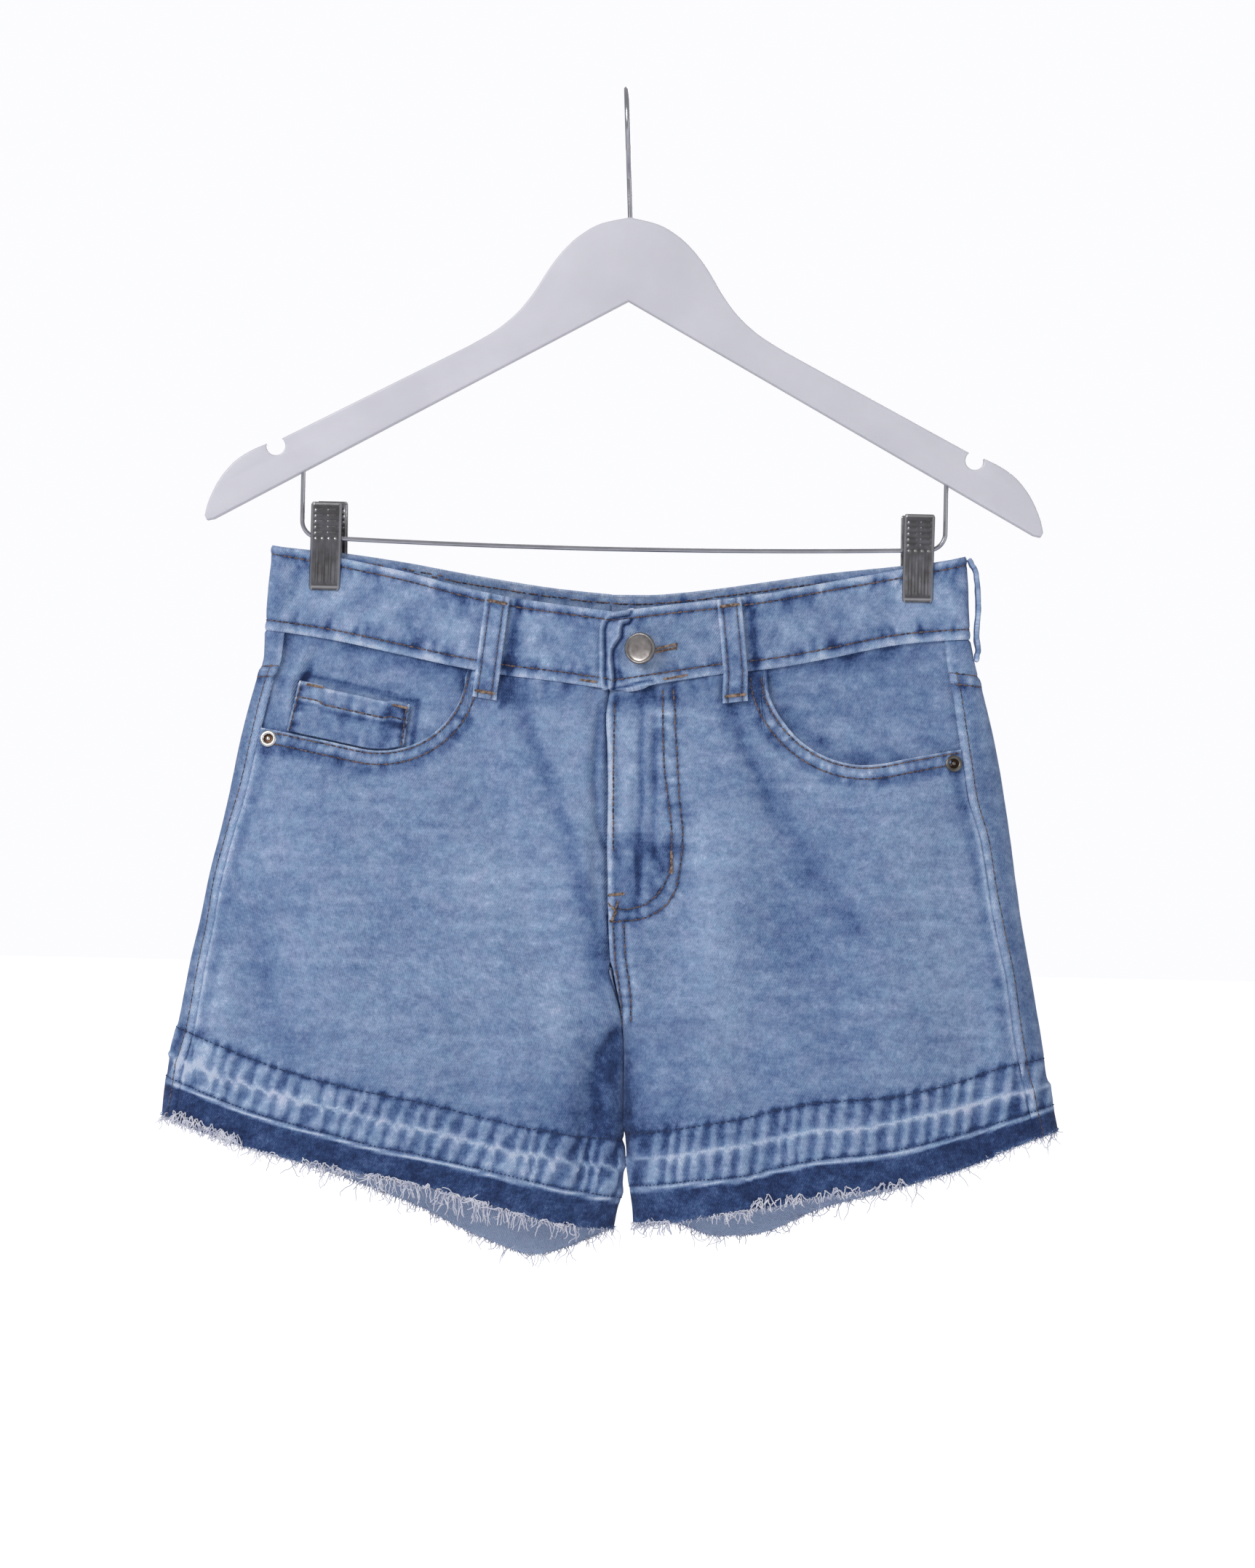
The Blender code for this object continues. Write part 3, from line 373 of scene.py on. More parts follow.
CREASES = [
    Crease("right", -1, 0.10, 0.20, 0.03, 0.42, 9.0, 3.0),
    Crease("right", -1, 0.42, 0.05, 0.10, 0.62, 17.0, -3.0),
    Crease("right", -1, 0.07, 0.66, 0.09, 0.95, 7.0, -4.0),
    Crease("right", -1, 0.78, 0.22, 0.62, 0.80, 24.0, 3.5),
    Crease("right", -1, 0.32, 0.60, 0.36, 1.00, 16.0, -3.0),
    Crease("right", -1, 0.86, 0.55, 0.80, 1.00, 13.0, -3.0),
    Crease("left", -1, 0.22, 0.28, 0.12, 0.60, 12.0, -3.0),
    Crease("left", -1, 0.36, 0.05, 0.26, 0.62, 19.0, 3.0),
    Crease("left", -1, 0.72, 0.25, 0.60, 0.85, 24.0, 3.5),
    Crease("left", -1, 0.30, 0.62, 0.34, 1.00, 15.0, -3.5),
    Crease("left", -1, 0.86, 0.55, 0.82, 1.00, 13.0, -3.0),
    Crease("right", 1, 0.60, 0.05, 0.30, 0.62, 22.0, 4.0),
    Crease("right", 1, 0.16, 0.60, 0.20, 1.00, 20.0, 4.0),
    Crease("right", 1, 0.48, 0.78, 0.50, 1.00, 18.0, -4.0),
    Crease("left", 1, 0.60, 0.05, 0.30, 0.62, 22.0, 4.0),
    Crease("left", 1, 0.22, 0.60, 0.26, 1.00, 20.0, 4.0),
    Crease("left", 1, 0.52, 0.78, 0.54, 1.00, 18.0, -4.0),
]
HALVES = {"left": 1, "right": -1}


def across_of(girth):
    """Share of the way from inner edge to side fold, for a girth of -1 (front) to 1 (back)."""
    return np.cos(np.pi * girth / 2) ** 2


def girth_of(across, face):
    return face * 2 / np.pi * np.arccos(np.sqrt(np.clip(across, 0.0, 1.0)))


def half_width(half, down):
    return read(DOWN, "fold_" + half, down) - read(DOWN, "inner_" + half, down) * HALVES[half]


def drop(half, across):
    """From waist seam to raw hem in front."""
    return read(ACROSS, "seam_" + half, across) - read(ACROSS, "hem_" + half, across)


def creased(half, face, across, down):
    """How far the large folds lift the cloth."""
    lift = 0.0
    for c in CREASES:
        if c.half != half:
            continue
        share = (down - c.down) / (c.to_down - c.down)
        beside = half_width(half, down) * (across - mix(c.across, c.to_across, share)) / c.width
        ends = smooth((share + 0.1) / 0.3) * (smooth((1.1 - share) / 0.3) if c.to_down < 1 else 1)
        near = (face == c.face) & (down >= c.down - 0.1) & (down <= c.to_down + 0.1)
        lift = lift + np.where(near, c.height * ends * np.exp(-beside * beside), 0.0)
    return lift * smooth((1 - across) / 0.12)


def half_depth(face, across, down):
    """From the middle plane to the cloth's outer face."""
    open_depth = np.where(face < 0, read(DOWN, "front", down), read(DOWN, "back", down))
    inside = np.minimum(1.0, across / (NIP_ACROSS - NIP_FLAT))
    bowed = mix(NIP, open_depth, np.cos(np.pi / 2 * inside) ** 2)
    sprung = mix(NIP, FOLD_HALF, smooth((across - NIP_ACROSS - 0.05) / 0.08))
    nipped = np.where(across < NIP_ACROSS, bowed, sprung)
    fade = smooth(down / NIP_REACH)
    power = FOLD_POWER * (BODY_POWER / FOLD_POWER) ** np.clip(down / NIP_REACH, 0.0, 1.0)
    closing = read(DOWN, "closing", down)
    as_body = np.maximum(0.0, 1 - across**power) ** 0.5
    as_leg = np.maximum(0.0, 1 - np.abs(2 * across - 1) ** power) ** 0.5
    return mix(nipped, open_depth, fade) * mix(as_body, as_leg, closing)


def surface(half, girth, down):
    """Points of the outer face. Down is -1 at the band's top, 0 at the waist seam, 1 at the hem. A girth
    past -1 or 1 carries on over the centre line, on the other half."""
    girth, down = np.broadcast_arrays(np.asarray(girth, float), np.asarray(down, float))
    past = np.abs(girth) > 1
    if past.any():
        other = "right" if half == "left" else "left"
        beyond = surface(other, np.where(past, np.copysign(2, girth) - girth, girth), down)
        return np.where(past[..., None], beyond, surface(half, np.clip(girth, -1, 1), down))
    across = across_of(girth)
    face = np.where(girth < 0, -1, 1)
    front_top = read(ACROSS, "top_" + half, across)
    rise = np.where(face > 0, read(ACROSS, "back_" + half, across) - front_top, 0.0)
    seam = read(ACROSS, "seam_" + half, across) + rise
    droop = np.where(face > 0, read(ACROSS, "droop_" + half, across), 0.0)
    hem = read(ACROSS, "hem_" + half, across) - droop
    z = np.where(down < 0, mix(seam, front_top + rise, -down), mix(seam, hem, down))
    fold = read(DOWN, "fold_" + half, down) - 2.5 * np.maximum(0.0, -down)
    inner = read(DOWN, "inner_" + half, down) * HALVES[half]
    y = half_depth(face, across, down)
    y = y + creased(half, face, across, down) * smooth(y / 6)
    return np.stack([HALVES[half] * mix(inner, fold, across), face * y, z], axis=-1)


def cloth(half, girth, down, lift=0.0):
    """Points of the outer face moved out along its normal."""
    girth, down = np.broadcast_arrays(np.asarray(girth, float), np.asarray(down, float))
    step = 0.004
    closed = read(DOWN, "closing", down) > 0
    before = np.where(closed & (girth >= -1), np.maximum(girth - step, -1.0), girth - step)
    after = np.where(closed & (girth <= 1), np.minimum(girth + step, 1.0), girth + step)
    round_it = surface(half, after, down) - surface(half, before, down)
    up_it = surface(half, girth, down - step) - surface(half, girth, down + step)
    out = np.cross(round_it, up_it) * HALVES[half]
    out /= np.maximum(np.linalg.norm(out, axis=-1, keepdims=True), 1e-9)
    return surface(half, girth, down) + out * np.broadcast_to(lift, girth.shape)[..., None]


def seam_girth(half, down):
    return girth_of(1 - read(DOWN, "seam_" + half, down) / half_width(half, down), -1)


def seam_at(half, down, behind):
    """The side seam's girth, moved backwards by some millimetres."""
    girth = seam_girth(half, down)
    run = np.linalg.norm(surface(half, girth + 0.01, down) - surface(half, girth - 0.01, down),
                         axis=-1) / 0.02
    return girth + behind / run


def inseam_gap(down):
    return 0.0016 * read(DOWN, "closing", down)


def mouth_down(half, across):
    """How far down a front pocket's mouth lies, 0 before it starts."""
    mouth = MOUTHS[half]
    share = np.clip((across - mouth.start) / mouth.reach, 0.0, 1.0)
    return mouth.depth * np.sqrt(1 - (1 - share) ** 2)


def bump(distance, width):
    return np.exp(-(distance / width) ** 2)


def patchy(x, y, seed):
    """Smooth random values from -1 to 1, about one bump for each unit."""
    left, low = np.floor(x), np.floor(y)

    def corner(i, j):
        n = np.sin((left + i) * 127.1 + (low + j) * 311.7 + seed * 74.7) * 43758.5453
        return 2 * (n - np.floor(n)) - 1

    across, up = smooth(x - left), smooth(y - low)
    return mix(mix(corner(0, 0), corner(1, 0), across), mix(corner(0, 1), corner(1, 1), across), up)


def beside(x, z, line):
    """The distance to a line of (x, z) points, minus to its right going along it, and how far along."""
    line = np.asarray(line, float)
    runs = np.diff(line, axis=0)
    lengths = np.hypot(runs[:, 0], runs[:, 1])
    starts = np.append(0, np.cumsum(lengths))
    nearest, along, sign = np.full(np.shape(x), 1e9), np.zeros(np.shape(x)), np.ones(np.shape(x))
    for (x0, z0), (dx, dz), length, start in zip(line, runs, lengths, starts):
        t = ((x - x0) * dx + (z - z0) * dz) / length**2
        t = np.clip(t, 0, 1)
        away = np.hypot(x - x0 - t * dx, z - z0 - t * dz)
        closer = away < nearest
        nearest = np.where(closer, away, nearest)
        along = np.where(closer, start + t * length, along)
        sign = np.where(closer, np.where(dx * (z - z0) - dz * (x - x0) < 0, -1.0, 1.0), sign)
    return nearest * sign, along


def sewn(distance, along, seed, depth=0.35, pull=0.45, spread=4.0, dark=0.30):
    """The height and tone that a row of stitches gives the cloth: a groove, darkened along it by unfaded dye
    together with painted shade, with puckers across it.
    """
    pucker = patchy(along / 2.7, 0.5 + distance * 0.05, seed) + 0.5 * patchy(along / 6.1, 0.5, seed + 3)
    height = -depth * bump(distance, 0.95) + pull * pucker * bump(distance, spread)
    # The darkening along the groove is unfaded dye with painted shade; the puckers are pale and dark by the
    # fade.
    return height, -dark * bump(distance, 1.2) + 0.26 * pucker * bump(distance, spread * 1.1)


rulers = {}


def round_cloth(half, girth, down):
    """How far round the cloth a girth lies from the front's centre line."""
    if half not in rulers:
        places = surface(half, np.linspace(-1.25, 1.25, 251)[None, :], np.linspace(-1, 1, 21)[:, None])
        lengths = np.cumsum(np.pad(np.linalg.norm(np.diff(places, axis=1), axis=2), ((0, 0), (1, 0))), axis=1)
        rulers[half] = lengths - lengths[:, 25:26]
    lengths = rulers[half]
    i, j = np.clip((girth + 1.25) * 100, 0, 249.99), np.clip((down + 1) * 10, 0, 19.99)
    column, row = i.astype(int), j.astype(int)
    low = mix(lengths[row, column], lengths[row, column + 1], i - column)
    high = mix(lengths[row + 1, column], lengths[row + 1, column + 1], i - column)
    return mix(low, high, j - row)


Laid = namedtuple("Laid", "u v girth down x z from_start from_end from_foot from_top")


def twill_group():
    """Stone-washed twill: the fade-and-shade tone (0 dark indigo, 1 bleached), which holds painted light and
    shade along with the stonewash fade, becomes a colour, a height and a roughness.
    """
    tree = bpy.data.node_groups.new("stonewashed_twill", "ShaderNodeTree")
    for name, kind in (("Cloth", "NodeSocketVector"), ("Wash", "NodeSocketFloat"),
                       ("Mottle", "NodeSocketFloat")):
        tree.interface.new_socket(name, in_out="INPUT", socket_type=kind)
    for name, kind in (("Color", "NodeSocketColor"), ("Height", "NodeSocketFloat"),
                       ("Roughness", "NodeSocketFloat")):
        tree.interface.new_socket(name, in_out="OUTPUT", socket_type=kind)
    given = tree.nodes.new("NodeGroupInput").outputs
    out = tree.nodes.new("NodeGroupOutput").inputs

    def sums(a, b, how="ADD"):
        return join(tree, "Math", operation=how, i0=a, i1=b).outputs[0]

    def centred(value, strength):
        return sums(sums(value, 0.5, "SUBTRACT"), strength, "MULTIPLY")

    flat = given["Cloth"]
    blotches = speckle(tree, 22, 3, 0.6)
    grain = speckle(tree, 165, 4.7, 0.92, stretch=(0.8, 1.0, 1), source=flat)
    warp = speckle(tree, 1700, 2, 0.5, stretch=(1.0, 0.16, 1), source=flat)
    turned = join(tree, "Mapping", Vector=flat, Rotation=(0, 0, math.radians(-58))).outputs[0]
    lines = join(tree, "TexWave", wave_type="BANDS", bands_direction="Y", Vector=turned,
                 Scale=math.tau / 20 / TWILL_PITCH,
                 Distortion=2.2, Detail=2.0, Detail_Scale=5.0).outputs[1]
    t = sums(given["Wash"], sums(centred(blotches, 0.36), given["Mottle"], "MULTIPLY"))
    t = sums(t, sums(centred(grain, 1.2), centred(warp, 0.34)))
    t = sums(t, centred(lines, 0.075))
    colour = ramp(tree, t, (0.0, (0.014, 0.030, 0.105)), (0.2, (0.036, 0.078, 0.22)),
                  (0.42, (0.115, 0.195, 0.40)),
                  (0.62, (0.215, 0.318, 0.535)), (0.78, (0.32, 0.437, 0.665)), (0.92, (0.43, 0.555, 0.785)),
                  (1.0, (0.62, 0.715, 0.90)))
    hue = ramp(tree, speckle(tree, 75, 5, 0.85, source=flat), (0.36, (0.92, 1.0, 1.0)),
               (0.64, (1.06, 0.99, 1.0)))
    colour = join(tree, "Mix", data_type="RGBA", blend_type="MULTIPLY", i0=1.0, i6=colour, i7=hue).outputs[2]
    height = sums(sums(lines, 0.5, "MULTIPLY"),
                  sums(sums(warp, 0.6, "MULTIPLY"), sums(grain, 2.0, "MULTIPLY")))
    tree.links.new(colour, out["Color"])
    tree.links.new(height, out["Height"])
    tree.links.new(join(tree, "MapRange", i0=grain, i3=0.82, i4=0.97).outputs[0], out["Roughness"])
    return tree


twill = twill_group()


def denim(name, wash=None, mottle=1.0, shade=None):
    """Twill on one side of the cloth. Without a level of its own it reads the piece's fade-and-shade
    attribute, the stonewash fade with painted light and shade in it.
    """
    material, tree, shader = surface_material(name, 0.9, Sheen_Weight=0.12, Sheen_Roughness=0.6,
                                              Specular_IOR_Level=0.2)
    flat = join(tree, "UVMap", uv_map="cloth").outputs[0]
    wear_and_painted_light = join(tree, "Attribute", attribute_name="wash").outputs["Fac"]
    if wash is not None:
        wear_and_painted_light = join(tree, "MapRange", i0=wear_and_painted_light, i3=wash - 0.05, i4=wash + 0.05).outputs[0]
    stuff = join(tree, "Group", node_tree=twill, Cloth=flat, Wash=wear_and_painted_light, Mottle=mottle).outputs
    colour = stuff["Color"]
    if shade:
        colour = join(tree, "Mix", data_type="RGBA", i0=0.55, i6=colour, i7=(*shade, 1)).outputs[2]
    tree.links.new(colour, shader.inputs["Base Color"])
    tree.links.new(stuff["Roughness"], shader.inputs["Roughness"])
    raised = join(tree, "Bump", Strength=0.75, Distance=0.00045, Height=stuff["Height"])
    tree.links.new(raised.outputs[0], shader.inputs["Normal"])
    return material


outside = denim("denim_face")
inside = denim("denim_inside", wash=0.74, mottle=1.3, shade=(0.66, 0.77, 1.0))
trees, lays = {}, {}


def drape(name, half, place, columns, rows, look, wall=WALL, replaced=(), lay=cloth, edge=0.35,
          doubled=False):
    """A piece of cloth as a fine grid on the places that place(u, v) gives as (girth, down, lift). Look gives
    it its small relief and its fade-and-shade tone, painted light and shade included. Its wall is then
    thickened inwards and its edges rounded."""
    bm = bmesh.new()
    bmesh.ops.create_grid(bm, x_segments=columns, y_segments=rows, size=0.5)
    mesh = bpy.data.meshes.new(name)
    bm.to_mesh(mesh)
    bm.free()
    grid = np.empty(len(mesh.vertices) * 3)
    mesh.vertices.foreach_get("co", grid)
    grid = grid.reshape(-1, 3)
    i = np.rint((grid[:, 0] + 0.5) * columns).astype(int)
    j = np.rint((grid[:, 1] + 0.5) * rows).astype(int)
    u, v = np.meshgrid(np.linspace(0, 1, columns + 1), np.linspace(0, 1, rows + 1))
    girth, down, lift = place(u, v)
    girth, down, lift = (np.broadcast_to(a, u.shape) for a in (girth, down, lift))
    plain = lay(half, girth, down, lift)
    runs = np.cumsum(np.pad(np.linalg.norm(np.diff(plain, axis=1), axis=2), ((0, 0), (1, 0))), axis=1)
    rises = np.cumsum(np.pad(np.linalg.norm(np.diff(plain, axis=0), axis=2), ((1, 0), (0, 0))), axis=0)
    laid = Laid(u, v, girth, down, plain[..., 0], plain[..., 2], runs, runs[:, -1:] - runs, rises,
                rises[-1:] - rises)
    height, wash = look(laid)
    shaped = lay(half, girth, down, lift + height)
    if HALVES[half] < 0:
        i = columns - i
    mesh.vertices.foreach_set("co", (shaped[j, i] * MM).ravel())
    # The fade-and-shade attribute holds the stonewash fade together with painted light and shade of folds,
    # gaps and belt loops.
    fade_and_shade_layer = mesh.attributes.new("wash", "FLOAT", "POINT").data
    fade_and_shade_layer.foreach_set("value", np.broadcast_to(wash, u.shape)[j, i].ravel())
    corner = np.empty(len(mesh.loops), np.int32)
    mesh.loops.foreach_get("vertex_index", corner)
    round_it = round_cloth(half, girth, down) if lay is cloth else runs
    flat = np.stack([round_it[j, i] * HALVES[half], plain[j, i, 2]], axis=1) * MM
    mesh.uv_layers.new(name="cloth").data.foreach_set("uv", flat[corner].ravel())
    mesh.update()
    trees[name] = BVHTree.FromPolygons([v.co for v in mesh.vertices], [p.vertices for p in mesh.polygons])
    lays[name] = laid, shaped
    bm = bmesh.new()
    bm.from_mesh(mesh)
    bmesh.ops.remove_doubles(bm, verts=bm.verts, dist=0.00004)
    bm.to_mesh(mesh)
    bm.free()
    mesh.shade_smooth()
    mesh.materials.append(outside)
    mesh.materials.append(inside)
    obj = bpy.data.objects.new(name, mesh)
    studio.collection.objects.link(obj)
    thick = obj.modifiers.new("wall", "SOLIDIFY")
    thick.thickness, thick.offset, thick.material_offset = wall * MM, -1.0, 0 if doubled else 1
    rounded = obj.modifiers.new("edges", "BEVEL")
    rounded.width, rounded.segments = edge * MM, 2
    rounded.limit_method, rounded.angle_limit = "ANGLE", math.radians(55)
    rounded.harden_normals = False
    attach(obj, "root")
    if replaced:
        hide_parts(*replaced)
    return obj


# The pocket facings: the cloth seen inside the mouths of the front pockets, sewn in under the fronts.
# The right one carries the coin pocket, a small hemmed patch.
def facing_place(half):
    first = MOUTHS[half].start - 0.06

    def place(u, v):
        across = mix(first, across_of(seam_girth(half, 0.1)), u)
        down = mix(mouth_down(half, across + 0.06) + 0.045, -TUCK, v)
        girth = np.where(u < 0.999, girth_of(across, -1), seam_at(half, down, 0.8))
        return girth, down, -POCKET_UNDER

    return place


FACING_ROLL = [(-163.0, -300.0), (-168.0, -308.0), (-171.5, -317.0), (-173.5, -328.0), (-172.5, -340.0)]
# A line of painted shadow on the right facing, beside its rolled edge.
FACING_SHADE = [(-160.5, -306.0), (-163.8, -315.0), (-166.8, -325.0), (-167.6, -341.0)]
# The coin pocket's edge. Along it a painted shadow darkens the facing.
COIN_SHADOW_EDGE = [(-169.4, -341.5), (-163.9, -315.2), (-105.4, -328.1), (-107.9, -348.6)]


Fold = namedtuple("Fold", "line width tone")
# Painted light and shade of soft folds on the pocket facings, with a matching relief.
FACING_FOLD_SHADES = {
    "left": [Fold([(91.1, -328.8), (112.0, -348.9), (132.1, -353.7)], 6.0, -0.20)],
    "right": [Fold([(-116.6, -335.8), (-101.3, -332.9)], 6.0, 0.20),
              Fold([(-81.6, -298.4), (-78.5, -319.0)], 5.0, -0.30),
              Fold([(-186.3, -311.1), (-183.6, -321.3)], 4.5, 0.16)],
}


def folded(at, folds, seed):
    """The height and the painted light and shade of soft folds: painted dark and sunk where the tone is below
    0, else painted pale and raised.
    """
    height, wash = 0.0, 0.0
    for fold in folds:
        away, _ = beside(at.x, at.z, fold.line)
        tone = fold.tone * np.exp(-(away / fold.width) ** 2)
        height, wash = height + 4.5 * tone, wash + tone * (1 + 0.4 * patchy(at.x / 8, at.z / 7, seed))
    return height, wash


def facing_look(half):
    def look(at):
        height = 0.5 * patchy(at.x / 17, at.z / 14, 31) + 0.2 * patchy(at.x / 7, at.z / 6, 33)
        wash = 0.62 + 0.09 * patchy(at.x / 11, at.z / 8, 32) + 0.06 * patchy(at.x / 30, at.z / 4, 34)
        dents = patchy(at.x / 6.5, at.from_top / 16, 35)
        # Painted shade under the waistband, broken up by the crumpled cloth.
        wash = wash - bump(at.from_top - 3, 7) * (0.18 - 0.2 * dents)
        height = height + 0.6 * dents * bump(at.from_top - 6, 8)
        # Painted shade just under the edge of the front's pocket mouth.
        foot = bump(at.from_foot - (0.045 * 290 - 4.0), 4.5)
        # Painted light and shade of the facing's folds, with their relief.
        high, tint = folded(at, FACING_FOLD_SHADES[half], 36)
        height, wash = height + high, wash + tint - 0.22 * foot
        if half == "right":
            roll, _ = beside(at.x, at.z, FACING_ROLL)
            shade, _ = beside(at.x, at.z, FACING_SHADE)
            coin, _ = beside(at.x, at.z, COIN_SHADOW_EDGE)
            height = height + 1.6 * bump(roll, 3.0) - 1.3 * bump(shade, 2.0)
            # Painted shadow along the facing's shade line.
            wash = wash + 0.12 * bump(roll, 2.6) - 0.60 * bump(shade, 1.9) * smooth((-304 - at.z) / 10)
            # Painted shadow round the coin pocket.
            return height, wash - 0.42 * bump(coin - 1.4, 1.5)
        # On the left facing, a painted shadow near its inner end.
        shade = bump(at.from_start - 6.5, 3.4) * smooth((at.from_foot - 4) / 10)
        return height - 0.8 * shade, wash - 0.42 * shade * smooth((-316 - at.z) / 12)

    return look


for half in HALVES:
    drape("facing_" + half, half, facing_place(half), 84, 50, facing_look(half),
          replaced=["pocket_facing_" + half])


def coin_place(u, v):
    across = mix(0.5625, 0.882, u)
    dip = 0.0055 * smooth((u - 0.16) / 0.06) * smooth((0.80 - u) / 0.06)
    return girth_of(across, -1), mix(mouth_down("right", across) - 0.004, 0.089 + dip, v), 0.5


def coin_look(at):
    sides = np.minimum(at.from_start, at.from_end)
    hemmed = smooth((9.6 - at.from_top) / 0.8)
    streaks = patchy(at.x / 3.6, at.z / 13, 43)
    height = 0.7 * hemmed - 0.7 * bump(sides, 0.7) - 0.7 * bump(at.from_top, 0.7) + 0.45 * streaks
    pull, stain = sewn(at.from_top - 8.2, at.x, 41, pull=0.5, dark=0.12)
    side_pull, side_stain = sewn(sides - 2.3, at.z, 42)
    wash = 0.59 + 0.17 * streaks + 0.08 * patchy(at.x / 7, at.z / 5, 44) + 0.34 * bump(at.from_top - 0.8, 1.3)
    wash = (wash + 0.22 * bump(sides - 0.6, 1.1) + 0.22 * bump(at.from_top - 9.8, 0.9) - 0.24
            * bump(at.from_top - 12.0, 1.3))
    ends = smooth((15.5 - sides) / 2) * smooth((11 - at.from_top) / 2)
    wash = wash + stain + side_stain - 0.10 * bump(sides - 13, 2.5) * hemmed
    return height + pull + side_pull + 0.5 * ends, wash


drape("coin_pocket_patch", "right", coin_place, 72, 30, coin_look, wall=WALL, replaced=["coin_pocket"])


# The front panels. Each top follows the waist seam and then the hemmed pocket mouth; the left one carries
# the fly, a doubled J-shaped layer. The hem was let down, so its old fold, its unpicked stitches and the
# dark cloth that lay inside it all show.
# Lines along the shaded side of each front belt loop. Beside them a painted shadow darkens the cloth.
LOOP_SHADOW_EDGES = {"right": [(-52.6, -266.5), (-60.5, -325.5)], "left": [(69.5, -269.0), (75.5, -323.0)]}
Hem = namedtuple("Hem", "across stitch_left crease_left fold_left stitch_right crease_right fold_right")
HEMS = [
    Hem(0.00, 47.9, 33.9, 18.1, 47.5, 32.1, 14.7), Hem(0.12, 48.0, 34.2, 18.7, 47.5, 33.3, 17.3),
    Hem(0.25, 47.8, 34.0, 16.6, 44.8, 30.8, 16.2), Hem(0.35, 49.1, 35.1, 17.9, 43.2, 29.4, 14.6),
    Hem(0.50, 48.7, 34.2, 17.6, 43.0, 29.6, 13.8), Hem(0.65, 46.4, 32.6, 17.2, 43.6, 30.4, 16.0),
    Hem(0.80, 43.8, 30.2, 15.6, 45.4, 32.2, 17.3), Hem(0.90, 41.6, 27.2, 12.9, 46.1, 31.4, 18.0),
    Hem(1.00, 38.2, 24.0, 11.8, 46.8, 32.0, 19.0),
]
# Painted light and shade of the large soft folds on the fronts, with a matching relief: painted shade where
# the tone is below 0, painted light where it is above.
FRONT_FOLD_SHADES = {
    "left": [Fold([(59.1, -319.3), (73.7, -354.9), (87.0, -380.2), (108.3, -415.7), (132.0, -443.5)], 7.5,
                  -0.20),
             Fold([(60.0, -321.0), (71.7, -350.9), (84.0, -377.2)], 3.5, -0.12),
             Fold([(90.9, -421.3), (99.3, -457.0), (125.5, -502.6)], 17.0, -0.15),
             Fold([(-1.4, -325.6), (29.3, -319.9)], 4.5, -0.26),
             Fold([(22.1, -335.6), (22.6, -371.8)], 2.6, -0.20),
             Fold([(10.1, -405.6), (8.2, -437.5)], 8.0, -0.26),
             Fold([(189.1, -352.5), (189.5, -373.0)], 6.0, -0.24),
             Fold([(38.4, -509.6), (39.2, -545.5)], 8.0, -0.12),
             Fold([(4.0, -346.3), (6.2, -371.8)], 5.0, 0.10),
             Fold([(40.9, -358.8), (46.6, -385.1), (60.9, -500.8)], 8.5, 0.11),
             Fold([(150.9, -398.8), (180.6, -451.1)], 16.0, 0.04)],
    "right": [Fold([(-58.1, -312.5), (-41.4, -347.0), (-21.3, -403.0), (-10.2, -438.7), (-4.4, -474.5)], 5.5,
                   -0.24),
              Fold([(6.0, -500.0), (-3.5, -513.0), (-5.8, -531.0), (-2.6, -551.0)], 2.6, -0.30),
              Fold([(4.5, -503.0), (2.5, -522.0)], 5.5, -0.42),
              Fold([(-149.3, -367.2), (-123.7, -366.7)], 9.0, -0.13),
              Fold([(-186.1, -447.6), (-180.2, -483.4), (-171.9, -514.0)], 8.0, -0.12),
              Fold([(-29.5, -480.2), (-20.9, -524.1)], 8.0, 0.10),
              Fold([(-70.3, -399.1), (-64.9, -475.8)], 15.0, 0.06),
              Fold([(-207.4, -478.9), (-214.6, -530.5)], 9.0, 0.16),
              Fold([(-171.9, -319.0), (-167.9, -336.8)], 5.0, -0.2)],
}
J_OUTER = [(31.5, -317.3), (33.4, -345.0), (35.5, -373.5), (37.9, -391.9), (37.9, -403.8), (36.3, -415.6),
           (35.3, -423.3), (30.8, -431.1), (25.0, -435.9), (19.1, -438.9), (13.3, -440.2), (0.5, -441.4)]
J_INNER = [(25.8, -317.6), (26.4, -338.0), (27.4, -359.4), (30.6, -380.4), (32.3, -393.9), (32.2, -403.9),
           (31.6, -414.6), (28.8, -421.0), (24.8, -427.1), (19.0, -431.9), (10.8, -434.5), (1.0, -434.6)]


def mouth_line(half):
    """The mouth's edge as (x, z) points, carried on up past the waist seam."""
    mouth = MOUTHS[half]
    across = mouth.start + mouth.reach * (1 - np.cos(np.linspace(0, np.pi / 2, 26)))
    across = np.append(across, np.linspace(mouth.start + mouth.reach, 0.955, 14)[1:])
    line = surface(half, girth_of(across, -1), mouth_down(half, across))[:, [0, 2]]
    return np.vstack([line[0] + (0, 14), line])


def aside(line, away):
    """A line of (x, z) points moved sideways, to its left for a distance over 0."""
    line = np.asarray(line, float)
    run = np.gradient(line, axis=0)
    run /= np.linalg.norm(run, axis=1, keepdims=True)
    return line + away * np.stack([-run[:, 1], run[:, 0]], axis=1)


